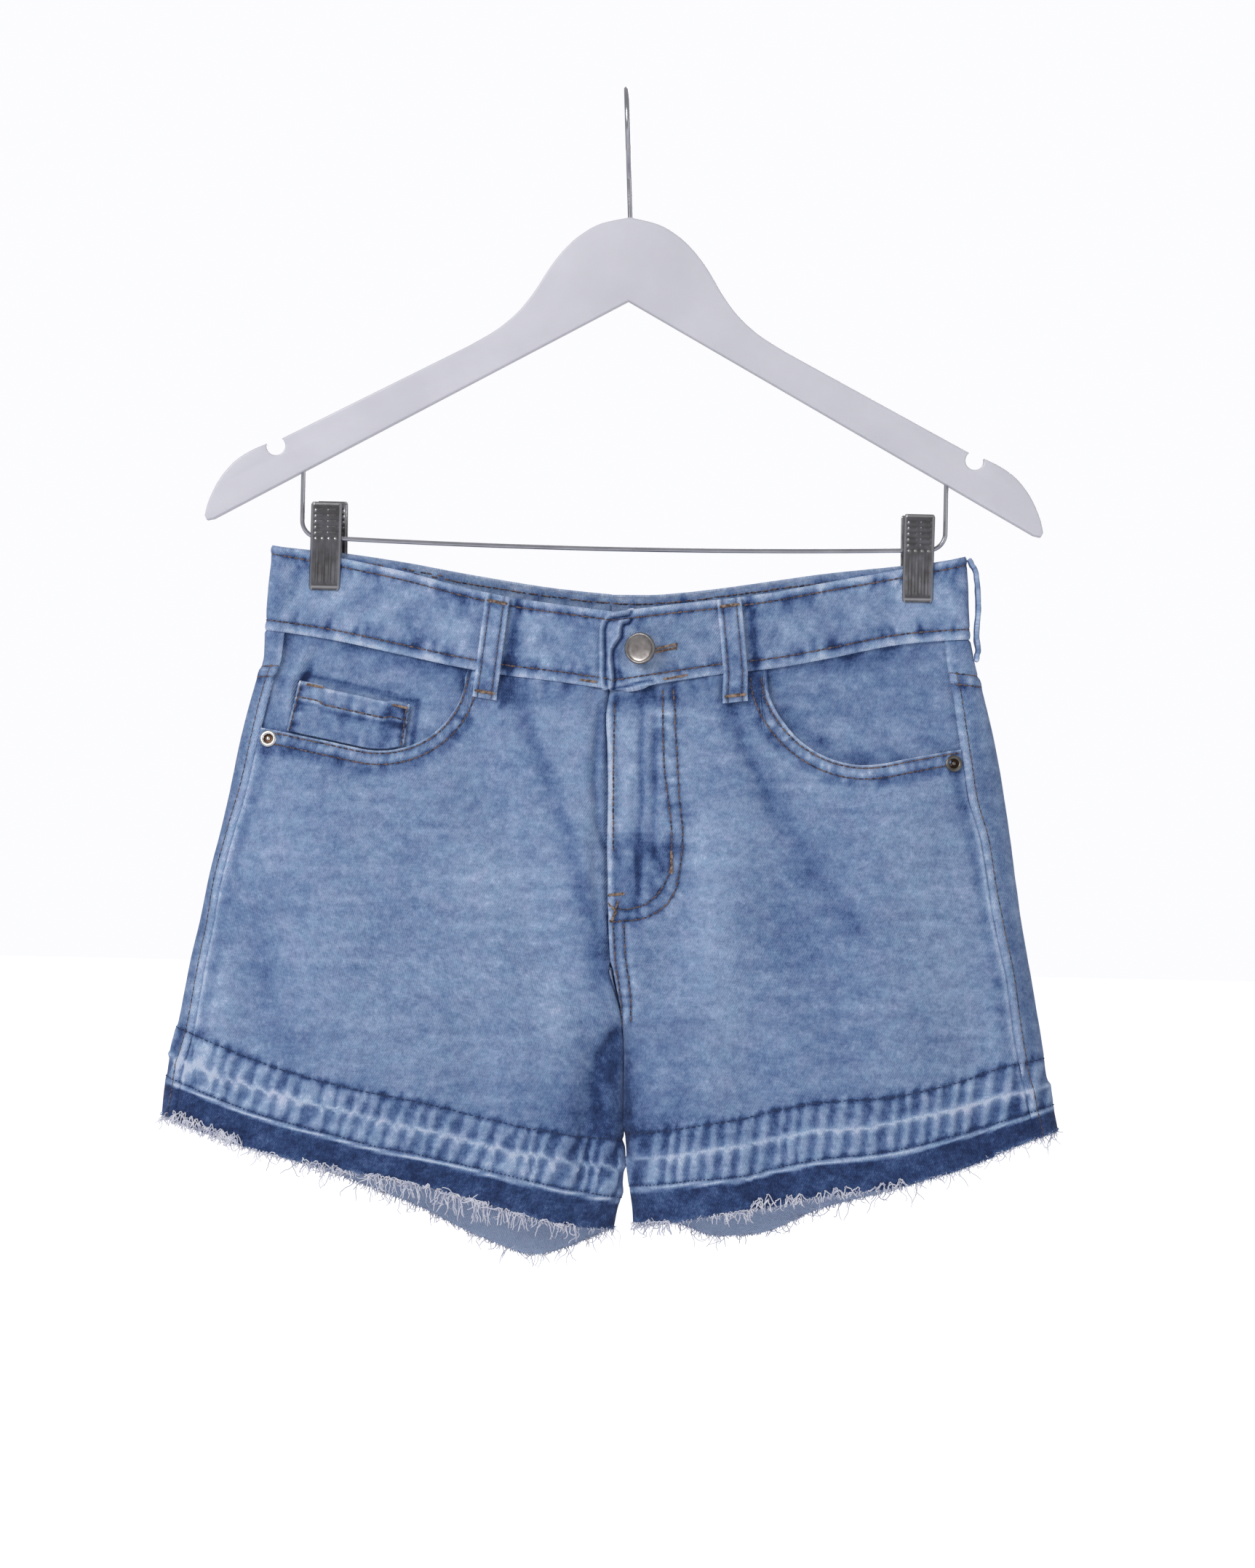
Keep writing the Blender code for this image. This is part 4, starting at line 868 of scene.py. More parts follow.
def hem_look(half, across, down, along, seed):
    """The let-down hem: its height, its fade tone, and how much of that tone it sets by itself."""
    above = (1 - down) * drop(half, across)
    stitch, crease, fold = (read(HEMS, f"{name}_{half}", across) for name in ("stitch", "crease", "fold"))
    phase = along / 8.4 + 0.5 * patchy(along / 15, 0.5, seed) + 0.15 * patchy(along / 4, 0.5, seed + 10)
    zigzag = (2.3 if half == "right" else 0.5) * (0.75 + 0.6 * patchy(along / 26, 0.5, seed + 9))
    ridge = crease - zigzag * (2 * (phase - np.floor(phase)) - 1) + 1.2 * patchy(along / 17, 0.5, seed + 1)
    lean = phase - (above - ridge) * (0.045 if half == "right" else 0.012)
    teeth = (np.cos(math.tau * lean) + 0.55 * patchy(lean * 2.7, above / 9, seed + 2) + 0.35
             * patchy(along / 9, 0.5, seed + 4))
    teeth = 2 * smooth(0.5 + 0.62 * teeth) - 1
    under = smooth((ridge - above) / 1.4) * smooth((above - fold - 0.6) / 1.6)
    over = smooth((above - ridge - 0.6) / 2.0) * smooth((stitch + 0.8 - above) / 1.0)
    crest, halo = bump(above - ridge, 1.1), bump(above - ridge, 3.2)
    height = 0.6 * teeth * (under + over) + 0.7 * crest + 0.3 * halo
    wash = (0.20 * teeth - 0.01) * under + (0.19 * teeth - 0.06) * over + 0.24 * crest + 0.20 * halo
    pull, stain = sewn(above - stitch, along, seed + 5, pull=0.4, spread=2.6, dark=0.34)
    low_pull, low_stain = sewn(above - fold - 1.9, along, seed + 6, depth=0.2, pull=0.2, spread=1.6,
                               dark=0.38)
    fringed = np.minimum(0, teeth * 0.6 + patchy(along / 2.0, 0.5, seed + 7) - 0.2) * bump(above - stitch
                                                                                           - 1.2, 2.4)
    sharp, pale = (0.62, 0.60) if half == "right" else (1.1, 0.42)
    height = height + pull + low_pull + 0.35 * bump(above - fold, 0.8)
    wash = wash + stain + low_stain + 0.25 * fringed + pale * bump(above - fold, sharp)
    raw = 0.165 + 0.09 * patchy(along / 6, above / 7, seed + 8) + 0.12 * bump(above, 1.6)
    dark = smooth((fold - 0.8 - above) / 0.8)
    raw = 0.155 + 0.08 * patchy(along / 6, above / 7, seed + 8) + 0.16 * bump(above, 1.6)
    return height, wash, raw, dark


def front_place(half):
    mouth = MOUTHS[half]
    columns, straight, curved = 20, 8, 6

    def place(u, v):
        step = u * columns
        round_it = mouth.start + mouth.reach * (1 - np.cos(np.pi / 2 * (step - straight) / curved))
        rest = mix(mouth.start + mouth.reach, 1.0, (step - straight - curved) / (columns - straight - curved))
        top_across = np.where(step <= straight, mouth.start * step / straight,
                              np.where(step <= straight + curved, round_it, rest))
        at_top = np.minimum(top_across, across_of(seam_girth(half, mouth.depth)))
        top = mouth_down(half, at_top)
        top = top - TUCK * (1 - smooth(top / 0.03))
        down = mix(1.0, top, v)
        end = seam_at(half, down, -0.4)
        reach = across_of(end) / across_of(seam_girth(half, mouth.depth))
        across = mix(across_of(mix(-1.0, end, u)), at_top * reach, v)
        girth = np.maximum(girth_of(across, -1), -1 + inseam_gap(down))
        lift = -0.9 * smooth((0.004 - down) / 0.007)
        under = np.clip((0.075 - u) / 0.075, 0, 1) * (1 - smooth((down - 0.44) / 0.08)) * (half == "right")
        lift = lift - 2.2 * smooth(under / 0.35)
        girth = girth - 0.055 * under
        past = smooth((u - 0.985) / 0.008)
        return mix(girth, mix(end, seam_at(half, down, 1.8), smooth((u - 0.98) / 0.02)),
                   past), down, lift - 0.9 * smooth((u - 0.984) / 0.012)

    return place


def front_look(half):
    side = HALVES[half]
    edge_line = mouth_line(half)
    under_band = surface(half, girth_of(np.linspace(0.0, MOUTHS[half].start, 20), -1), 0.0)[:, [0, 2]]

    def fly(at):
        """The J: raised cloth with upright ridges in it, dark where it is pulled in, and its stitch rows."""
        outer, along = beside(at.x, at.z, J_OUTER)
        within = smooth((1.4 - outer) / 1.6) * smooth((-317.0 - at.z) / 2) * (at.z > -441.6)
        height, wash = 0.7 * within, 0.05 * within
        for line, seed in ((J_OUTER, 61), (J_INNER, 62)):
            near, along = beside(at.x, at.z, line)
            pull, stain = sewn(near, along, seed, pull=0.45, spread=4.5)
            height, wash = height + pull, wash + stain
        reach = bump((at.z + 378) / 62, 1)
        wander = 0.9 * patchy(at.z / 22, 0.5, 63)
        for x0, depth, dark in ((15.4, 1.0, 0.36), (22.6, 0.7, 0.20), (8.6, -0.45, -0.06),
                                (12.2, -0.35, -0.05)):
            groove = bump(at.x - x0 - wander, 1.7) * within
            height, wash = height - depth * groove * reach, wash - dark * groove * reach
        pulled = 0.34 * bump((at.z + 408) / 15, 1) * bump((at.x - 17) / 15, 1)
        pulled = pulled + 0.22 * bump((at.z + 322) / 8, 1) * bump((at.x - 12) / 14, 1)
        crumple = patchy(at.x / 3.4 + at.z / 40, at.z / 10, 68) * within
        height, wash = height + 0.45 * crumple, wash + (0.07 + 0.35 * pulled) * crumple
        wash = wash - within * pulled * (0.75 + 0.9 * patchy(at.x / 4.5, at.z / 9, 64))
        return height, wash

    def look(at):
        across = across_of(at.girth)
        height = 0.6 * patchy(at.x / 34, at.z / 26, 51) + 0.22 * patchy(at.x / 11, at.z / 9, 52)
        wash = 0.665 + 0.06 * bump(np.hypot((np.abs(at.x) - 105) / 80, (at.z + 440) / 75), 1)
        wash = wash + 0.055 * patchy(at.x / 45, at.z / 4.0, 53) + 0.05 * patchy(at.x / 38, at.z / 30, 54)
        # Darker round the fork between the legs: partly unfaded dye, partly painted shade.
        wash = wash - 0.30 * bump(np.hypot((at.x - 1) / 24, (at.z + 548) / 40), 1)
        wash = wash - 0.08 * bump((at.z + 550) / 16, 1)
        # Painted light and shade of the large folds, with their relief.
        high, tint = folded(at, FRONT_FOLD_SHADES[half], 55)
        height, wash = height + high, wash + tint
        under, along = beside(at.x, at.z, under_band)
        under = np.abs(under)
        dents = patchy(along / 5.5, under / 14, 56) + 0.4 * patchy(along / 2.6, under / 9, 156)
        height = height - 0.6 * bump(under, 2.2) + 0.7 * dents * bump(under - 4, 8)
        # Painted shade below the waistband, broken up by the crumpled cloth.
        wash = wash - bump(under, 9.0) * (0.17 - 0.24 * dents)
        mouth, along = beside(at.x, at.z, edge_line)
        mouth = np.abs(mouth)
        lens_shaped = np.cos(math.tau * (along / 5.2 + 0.4
                                         * patchy(along / 8, 0.5, 157))) * bump(mouth - 4.5, 2.0)
        height = height + 0.6 * smooth((9.2 - mouth) / 1.2) - 0.4 * bump(mouth, 0.7) + 0.4 * lens_shaped
        wash = (wash + 0.34 * bump(mouth - 0.3, 1.0) - 0.24 * bump(mouth - 10.2, 2.6)
                * (1 + 0.9 * patchy(along / 3.4, 0.5, 57)))
        wash = wash + 0.15 * lens_shaped - 0.04 * bump(mouth - 4.5, 3)
        # Painted shadow beside the belt loop.
        loop, _ = beside(at.x, at.z, LOOP_SHADOW_EDGES[half])
        wash = wash - 0.55 * bump(loop - 1.6, 2.6)
        for row, seed in ((1.6, 58), (7.3, 59)):
            pull, stain = sewn(mouth - row, along, seed, pull=0.30, spread=3.2, dark=0.30)
            height, wash = height + pull, wash + stain
        seam = at.from_end
        height = height + 0.7 * bump(seam - 2.6, 1.6) - 0.7 * bump(seam - 0.6, 0.8)
        wash = (wash + 0.24 * bump(seam - 2.8, 1.5) - 0.45 * bump(seam - 0.5, 0.9) - 0.15
                * bump(seam - 7.5, 3.0) * (1 + patchy(at.z / 5, 0.5, 60)))
        if half == "left":
            high, tint = fly(at)
            height, wash = height + high, wash + tint
            centre = at.from_start
            fold = smooth((at.z + 480) / 30)
            height = height + 0.5 * bump(centre - 1.7, 1.5) * fold - 0.6 * bump(centre, 0.8)
            wash = wash + 0.27 * bump(centre - 1.3, 1.6) * fold - 0.16 * bump(centre - 4.2, 1.2) * fold
            for row, seed in ((2.6, 65), (8.2, 66)):
                low = smooth((-440 - at.z) / 3) * smooth((at.z + 500) / 8)
                pull, stain = sewn(centre - row, at.z, seed, pull=0.35)
                height, wash = height + pull * low, wash + (stain + 0.1 * bump(centre - row - 2.5, 1.6)) * low
        else:
            centre = at.from_start
            # Painted shade where the right front tucks under the fly and in the groove beside it.
            tucked = smooth((at.z + 500) / 40)
            height = height - 1.7 * bump(centre, 3.2) * tucked
            wash = wash - 0.24 * bump(centre - 1, 3.5) * tucked * (1 + 0.6 * patchy(at.z / 11, 0.5, 67))
            fold, along = beside(at.x, at.z, [(-7.5, -329), (-9.5, -366), (-6.0, -394), (-2.5, -402)])
            height = height - 1.0 * bump(fold, 1.6) + 0.7 * bump(fold - 3.6 * side, 2.4)
            wash = wash - 0.22 * bump(fold, 1.7)
            # A dark painted shadow on the strip that laps under the left front.
            wash = (wash - 0.8 * smooth((-0.985 - at.girth) / 0.015) * smooth((-436 - at.z) / 4)
                    * smooth((at.z + 564) / 8))
        leg = smooth((-500 - at.z) / 15)
        if half == "left":
            height = height + 0.5 * bump(at.from_start - 2, 1.5) * leg
            wash = wash + 0.16 * bump(at.from_start - 1.2, 1.4) * leg - 0.2 * bump(at.from_start - 6, 4) * leg
        high, tint, raw, dark = hem_look(half, across, at.down, at.x, 71 if half == "left" else 81)
        return height + high, mix(np.maximum(wash + tint, 0.16), raw, dark)

    return look


for half, extra in (("left", ["fly_placket"]), ("right", [])):
    drape("front_panel_" + half, half, front_place(half), 156, 176, front_look(half),
          replaced=["front_" + half] + extra)


# The back: a yoke and a panel on each half, seamed at the centre, with a plain five-sided patch pocket on
# each. They come round the side fold to meet the fronts.
YOKE_SIDE = 0.075
YOKE_CENTRE = 0.215
BACK_POCKET_WIDTH = 128.0
BACK_POCKET_HEIGHT = 122.0
BACK_POCKET_POINT = 18.0
BACK_POCKET_TAPER = 0.9
BACK_POCKET_ACROSS = 0.50
BACK_POCKET_DOWN = 0.25


def yoke_down(girth):
    away = (1 - across_of(girth)) * np.where(girth > 0, 1, -1)
    return mix(YOKE_SIDE, YOKE_CENTRE, away)


def wrap_girth(half, down, u):
    """From the side seam (0) round the fold to the centre back or inseam (1)."""
    under = np.clip((u - 0.94) / 0.06, 0, 1) * (1 - smooth((down - 0.44) / 0.08)) * (half == "left")
    return mix(seam_at(half, down, 0.0), 1 - inseam_gap(down), mix(u, u * u, 0.35)) + 0.04 * under


def tucked(half, u):
    return -2.0 * smooth((u - 0.945) / 0.02) * (half == "left")


def yoke_place(half):
    def place(u, v):
        down = mix(yoke_down(wrap_girth(half, 0.1, u)), -TUCK, v)
        return wrap_girth(half, down, u), down, -0.9 * smooth((0.004 - down) / 0.007) + tucked(half, u)

    return place


def back_place(half):
    def place(u, v):
        top = yoke_down(wrap_girth(half, 0.1, u))
        down = mix(1.0, top - 0.009, v)
        return wrap_girth(half, down, u), down, -0.9 * smooth((top + 0.002 - down) / 0.006) + tucked(half, u)

    return place


def pocket_place(half):
    def place(u, v):
        width = BACK_POCKET_WIDTH * mix(BACK_POCKET_TAPER, 1.0, v)
        side = (0.5 - u) * width
        height = BACK_POCKET_HEIGHT + BACK_POCKET_POINT * (1 - np.abs(side) / (width / 2))
        across = BACK_POCKET_ACROSS + side / half_width(half, BACK_POCKET_DOWN)
        down = BACK_POCKET_DOWN + (1 - v) * height / drop(half, BACK_POCKET_ACROSS)
        return girth_of(across, 1), down, PATCH_OUT

    return place


def seam_rows(distance, along, seed, rows=(2.2, 8.2)):
    """A felled seam: a rounded double thickness at the edge of a piece, held by two rows."""
    height = 0.55 * smooth((9.6 - distance) / 1.4) - 0.6 * bump(distance, 0.7)
    wash = 0.18 * bump(distance - 0.8, 1.4) - 0.14 * bump(distance - 11, 2.4)
    for k, row in enumerate(rows):
        pull, stain = sewn(distance - row, along, seed + k, pull=0.32)
        height, wash = height + pull, wash + stain
    return height, wash


def back_wash(at):
    height = 0.5 * patchy(at.x / 34, at.z / 26, 91) + 0.12 * patchy(at.x / 9, at.z / 9, 92)
    wash = 0.63 + 0.06 * bump(np.hypot((np.abs(at.x) - 100) / 75, (at.z + 440) / 70), 1)
    return height, wash + 0.045 * patchy(at.x / 38, at.z / 30, 93) + 0.04 * patchy(at.x / 70, at.z / 6, 94)


def yoke_look(at):
    height, wash = back_wash(at)
    high, tint = seam_rows(at.from_end, at.z, 95)
    # Painted shade under the waistband, broken up by blotches.
    wash = wash - bump(at.from_top, 8) * (0.16 + 0.2 * patchy(at.x / 7, at.z / 9, 97))
    height = height - 1.0 * bump(at.from_top, 2.0) - 0.7 * bump(at.from_foot, 0.8)
    return height + high, wash + tint + 0.1 * bump(at.from_foot, 1.2) + 0.2 * bump(at.from_start - 1.2, 1.6)


def back_look(half):
    def look(at):
        height, wash = back_wash(at)
        above_crotch = smooth((at.z + 500) / 25)
        for distance, along, seed, share in ((at.from_top, at.x, 98, 1.0),
                                             (at.from_end, at.z, 101, above_crotch)):
            high, tint = seam_rows(distance, along, seed)
            height, wash = height + high * share, wash + tint * share
        leg = 1 - above_crotch
        height = height - 0.8 * bump(at.from_end, 1.0) * leg
        wash = wash + 0.14 * bump(at.from_end - 1.2, 1.6) * leg - 0.2 * bump(at.from_end - 6, 6) * leg
        seam = at.from_start
        height = height + 0.4 * bump(seam - 2.0, 1.7) - 0.7 * bump(seam, 0.7)
        wash = (wash + 0.20 * bump(seam - 2.0, 2.4) - 0.10 * bump(seam - 9, 4)
                * (1 + patchy(at.z / 6, 0.5, 104)))
        stains = bump(np.hypot((at.x * HALVES[half] - 100) / 70, (at.z + 385) / 70), 1)
        high, tint, raw, dark = hem_look(half, across_of(at.girth), at.down, at.x,
                                         105 if half == "left" else 115)
        return height + high, mix(np.maximum(wash + tint - 0.04 * stains, 0.16), raw, dark)

    return look


def pocket_look(at):
    sides = np.minimum(np.minimum(at.from_start, at.from_end), at.from_foot)
    height, wash = back_wash(at)
    height = (height - 1.0 * bump(sides, 0.9) - 0.7 * bump(at.from_top, 0.8) + 0.35
              * smooth((14 - at.from_top) / 1.5))
    wash = (wash + 0.24 * bump(sides - 0.5, 1.2) + 0.3 * bump(at.from_top, 1.4) - 0.12
            * bump(at.from_top - 16, 3))
    for distance, along, seed in ((sides - 1.8, at.x + at.z, 125), (sides - 7.8, at.x + at.z, 126),
                                  (at.from_top - 12.5, at.x, 127)):
        pull, stain = sewn(distance, along, seed)
        height, wash = height + pull, wash + stain
    return height, wash + 0.05 * bump(np.hypot(at.u - 0.5, at.v - 0.55), 0.35)


for half in HALVES:
    drape("yoke_piece_" + half, half, yoke_place(half), 96, 30, yoke_look, replaced=["yoke_" + half])
    drape("back_panel_" + half, half, back_place(half), 116, 120, back_look(half), replaced=["back_" + half])
    drape("seat_pocket_" + half, half, pocket_place(half), 72, 76, pocket_look,
          replaced=["back_pocket_" + half])


# The waistband, a folded strip in two halves joined at the centre back. Its left end laps over the right
# one at the fly, where its corner has curled; a row of stitches runs along each edge.
BAND_LAP = 6.0
BAND_UNDERLAP = 20.0


FLAP_ROLL = [(6.1, -277.1), (1.5, -278.0), (-3.1, -279.2), (-6.5, -282.0), (-7.6, -286.3), (-7.4, -294.3),
             (-6.9, -302.0),
             (-7.1, -309.7), (-6.2, -316.6), (-3.8, -320.4), (0.5, -320.5), (6.2, -319.1), (13.1, -317.0),
             (18.8, -315.3)]
FLAP_TUCK = [(6.2, -281.4), (2.7, -282.2), (1.7, -286.1), (1.7, -289.9), (-0.5, -293.0), (-2.7, -296.9),
             (-3.0, -301.9),
             (-2.1, -307.7), (-1.6, -313.5), (-2.3, -317.7)]


def band_lift(half, across):
    return (BAND_WALL + GAP) * (1 - smooth((across - 0.13) / 0.17)) if half == "left" else 0.0 * across


def band_place(half):
    lap = BAND_LAP if half == "left" else BAND_UNDERLAP
    start = -2 - girth_of(lap / half_width(half, 0), -1)

    def place(u, v):
        bunching = 1.25
        behind = np.maximum(2 * u - 1, 0) ** (bunching * bunching)
        girth = np.where(u < 0.5, mix(start, 0.0, np.minimum(2 * u, 1) ** 1.12), behind)
        girth = np.where((girth > -1) & (girth < 0), -np.abs(girth) ** bunching, girth)
        girth = girth + 0.008 * smooth((u - 0.99) / 0.01) * (half == "left")
        lift = np.where(girth < 0, band_lift(half, across_of(np.maximum(-1.0, girth))), 0.0)
        return girth, -mix(GAP / BAND_HEIGHT, 1.0, v), lift

    return place


def band_look(half):
    def look(at):
        along = at.from_start
        height = (0.40 * patchy(along / 13, at.v * 2.0, 131) + 0.22
                  * patchy(along / 5 + at.v * 3, at.v * 3, 132))
        dents = patchy(along / 5.0 + at.v * 2.4, at.v * 4, 134)
        wash = (0.70 + 0.09 * patchy(along / 15, at.v * 2.5, 133) + 0.13 * dents + 0.06
                * patchy(along / 2.6, at.v * 9, 139))
        for distance, seed, row in ((at.from_top, 135, 4.6), (at.from_foot, 137, 5.4)):
            pull, stain = sewn(distance - row, along, seed, pull=0.5, spread=3.6, dark=0.30)
            ticks = np.minimum(0, 1.4 * patchy((along + 0.35 * distance) / 3.0, 0.5,
                                               seed + 1)) * bump(distance - row - 1.6, 4.6)
            height = (height + pull - 0.4 * bump(distance, 0.7) + 0.25 * bump(distance - 2.4, 1.6) + 0.5
                      * ticks)
            wash = wash + stain + 0.40 * ticks + 0.22 * bump(distance - 0.8, 1.7)
        # Painted shadow beside each front belt loop.
        loop, _ = beside(at.x, at.z, LOOP_SHADOW_EDGES[half])
        wash = wash - 0.60 * bump(loop - 1.6, 2.6) * (at.girth < 0)
        wash = np.where(at.girth < 0, wash, mix(0.80, wash, 0.55))
        if half == "left":
            in_front = at.girth < 0
            roll, _ = beside(at.x, at.z, FLAP_ROLL)
            tuck, _ = beside(at.x, at.z, FLAP_TUCK)
            beyond = smooth((at.x - 19) / 6)
            # The pale ridges are the worn folds of the curled end. The dark grooves beside them are painted
            # shade.
            for line, rise, fall in ((roll, 1.0, 2.3), (tuck, 0.9, 2.2)):
                ridge = bump(line, 1.15) * in_front
                groove = bump(line - fall, 0.9) * in_front * (1 - beyond)
                height = height + 1.5 * rise * ridge - 1.4 * groove
                wash = mix(mix(wash, 0.90, 0.95 * ridge), 0.10, 0.85 * groove)
            # Painted shade beside the tucked fold.
            shade = bump(tuck - 4.2, 2.4) * in_front * smooth((-284 - at.z) / 4 + 0.5)
            height, wash = height - 0.4 * shade, wash - 0.16 * shade * (1 + patchy(at.z / 5, 0.5, 140))
            creases = bump(np.hypot((at.x - 12) / 19, (at.z + 297) / 20), 1) * in_front
            height = height + 0.7 * patchy(at.x / 5 + at.z / 12, at.z / 9, 141) * creases
            wash = wash + 0.20 * patchy(at.x / 4.5 + at.z / 12, at.z / 8, 142) * creases
        return height, wash

    return look


for half in HALVES:
    drape("waistband_half_" + half, half, band_place(half), 380, 38, band_look(half), wall=BAND_WALL,
          replaced=["waistband_" + half], edge=0.7, doubled=True)


# The belt loops: folded strips, stitched down their long edges and tacked at both ends.
LOOP_WIDTH = 13.0
LOOP_WALL = 1.9
LOOP_END = 0.05


def loop_arch(share):
    return 2 * GAP + 1.5 * np.maximum(0, np.sin(np.pi * share)) ** 0.6


def loop_look(at):
    sides = np.minimum(at.from_start, at.from_end)
    ends = np.minimum(at.from_foot, at.from_top)
    height = (-0.5 * bump(sides, 0.7) - 0.45 * bump(sides - 2.9, 0.8) + 0.25 * bump(sides - 1.4, 0.8) - 0.4
              * bump(ends - 3.4, 1.0))
    height = height - 0.35 * bump(ends, 0.8) + 0.3 * patchy(at.from_start / 3, at.z / 3.4, 151)
    wash = (0.70 + 0.14 * patchy(at.x / 4, at.z / 5, 152) + 0.22 * bump(sides - 0.7, 1.2) - 0.26
            * bump(sides - 2.9, 0.9))
    return height, wash - 0.22 * bump(ends - 5.8, 1.8) + 0.15 * bump(ends, 1.2) - 0.1 * bump(at.v - 0.15,
                                                                                             0.16)


def front_loop(half, across, across_low, end):
    def place(u, v):
        middle = mix(across_low, across, v)
        girth = girth_of(middle + (u - 0.5) * LOOP_WIDTH / half_width(half, 0), -1)
        return girth, mix(end, -1.0, v), LOOP_WALL + loop_arch(v) + band_lift(half, middle - 0.03)

    drape("front_loop_" + half, half, place, 18, 60, loop_look, wall=LOOP_WALL, doubled=True,
          replaced=["belt_loop_front_" + half], edge=0.45)


def right_side_loop(u, v):
    girth = girth_of(0.925 - (u - 0.5) * LOOP_WIDTH / half_width("right", 0), 1)
    return girth, mix(LOOP_END, -1.0, v), LOOP_WALL + loop_arch(v)


def centre_loop(u, v):
    girth = girth_of(np.abs(u - 0.5) * LOOP_WIDTH / half_width("left", 0), 1)
    return np.where(u < 0.5, girth, 2 - girth), mix(LOOP_END, -1.0, v), LOOP_WALL + loop_arch(v)


Bow = namedtuple("Bow", "share x z")
BOWS = [Bow(0.0, 192.4, -299.5), Bow(0.10, 193.4, -294.0), Bow(0.25, 192.3, -286.5),
        Bow(0.5, 192.9, -272.6), Bow(0.82, 191.6, -253.5), Bow(1.0, 187.6, -244.5)]


def left_side_loop(u, v):
    return u, v, LOOP_WALL / 2


def bowed(half, across, share, lift):
    return np.stack([read(BOWS, "x", share) + lift, mix(-4.5, 8.5, across), read(BOWS, "z", share)], axis=-1)


front_loop("left", 0.328, 0.348, 0.056)
front_loop("right", 0.330, 0.352, 0.049)
drape("side_loop_right", "right", right_side_loop, 18, 60, loop_look, wall=LOOP_WALL, doubled=True,
      replaced=["belt_loop_side_right"], edge=0.45)
drape("side_loop_left", "left", left_side_loop, 18, 60, loop_look, wall=LOOP_WALL, doubled=True,
      replaced=["belt_loop_side_left"], lay=bowed, edge=0.45)
drape("back_loop", "left", centre_loop, 18, 60, loop_look, wall=LOOP_WALL, replaced=["belt_loop_back"],
      edge=0.45)


# The topstitching: thick tan and brown thread that the wash has dulled, darker along its edges, and the dark
# blue thread ends that are left where the hem was unpicked. Each stitch is a short bead of thread.
def thread(name, dark, light):
    material, tree, shader = surface_material(name, 0.75, Sheen_Weight=0.2)
    tree.links.new(ramp(tree, speckle(tree, 430, 2, 0.8), (0.40, dark), (0.60, light)),
                   shader.inputs["Base Color"])
    fibres = speckle(tree, 2600, 2)
    tree.links.new(join(tree, "Bump", Strength=0.6, Distance=0.0002, Height=fibres).outputs[0],
                   shader.inputs["Normal"])
    return material


brown = thread("topstitch_brown", (0.020, 0.024, 0.065), (0.24, 0.155, 0.125))
tan = thread("tack_tan", (0.12, 0.07, 0.05), (0.44, 0.31, 0.23))
navy = thread("hem_stitch_navy", (0.012, 0.022, 0.075), (0.035, 0.06, 0.16))
rng = random.Random(5)


def nearest_on(name, point):
    place, normal, _, _ = trees[name].find_nearest(Vector(point) * MM)
    return np.array(place) / MM, np.array(normal)


def resampled(points, pitch):
    points = np.asarray(points, float)
    lengths = np.append(0, np.cumsum(np.linalg.norm(np.diff(points, axis=0), axis=1)))
    count = max(2, int(round(lengths[-1] / pitch)) + 1)
    at = np.linspace(0, lengths[-1], count)
    return np.stack([np.interp(at, lengths, points[:, k]) for k in range(3)], axis=1)


ball = bmesh.new()
bmesh.ops.create_uvsphere(ball, u_segments=6, v_segments=3, radius=1.0)
stitch_shape, stitch_points = small_shape("stitch", ball)


def bead(bm, start, end, normal, girth, height):
    """One stitch: an egg-shaped bead from start to end, lying on the cloth."""
    run = end - start
    side = np.cross(normal, run)
    side /= np.linalg.norm(side)
    up = np.cross(run, side)
    up /= np.linalg.norm(up)
    shape_copy(bm, stitch_shape, (start + end) / 2 + stitch_points[:, 2:] * run / 2 * 1.04
               + stitch_points[:, :1] * side * girth + stitch_points[:, 1:2] * up * height)


def sew(bm, on, points, pitch=3.3, cover=1.0, girth=0.56, through=0.0, wander=0.16):
    """A row of stitches along points, on the named piece, or on its inner face where through is its wall."""
    path = resampled(points, pitch)
    for a, b in zip(path, path[1:]):
        jog = np.array([rng.uniform(-wander, wander) for _ in range(3)])
        start, normal = nearest_on(on, mix(a, b, (1 - cover) / 2) + jog)
        end, _ = nearest_on(on, mix(a, b, (1 + cover) / 2) - jog)
        away = normal * (0.08 if not through else -through - 0.12)
        if np.linalg.norm(end - start) > 0.4:
            bead(bm, start + away, end + away, normal, girth * rng.uniform(0.85, 1.1), 0.42)


def tack(bm, on, points, reach=1.25, pitch=0.55, girth=0.48):
    """A bartack: close stitches across a short line."""
    path = resampled(points, pitch)
    for point, run in zip(path, np.gradient(path, axis=0)):
        place, normal = nearest_on(on, point)
        run = run / np.linalg.norm(run)
        across = np.cross(normal, run) * reach * rng.uniform(0.75, 1.15) + run * rng.uniform(-0.5, 0.5)
        bead(bm, place - across + normal * 0.25, place + across + normal * 0.25, normal, girth, 0.34)


def trace(name, field, axis=0):
    """Where a field over a piece's grid passes 0, along its columns (axis 0) or its rows (axis 1)."""
    laid, shaped = lays[name]
    points = shaped if axis == 0 else shaped.transpose(1, 0, 2)
    values = np.broadcast_to(field, laid.u.shape)
    values = values if axis == 0 else values.T
    found = []
    for k in range(values.shape[1]):
        sign = np.nonzero(values[:-1, k] * values[1:, k] < 0)[0]
        if len(sign):
            i = sign[0]
            share = values[i, k] / (values[i, k] - values[i + 1, k])
            found.append(mix(points[i, k], points[i + 1, k], share))
    return np.array(found)


def facing_front(name, line):
    """The points of a piece right behind (x, z) points, as seen from the front."""
    hits = [trees[name].ray_cast(Vector((x, -200, z)) * MM, Vector((0, 1, 0)))[0] for x, z in line]
    return np.array([hit / MM for hit in hits if hit])


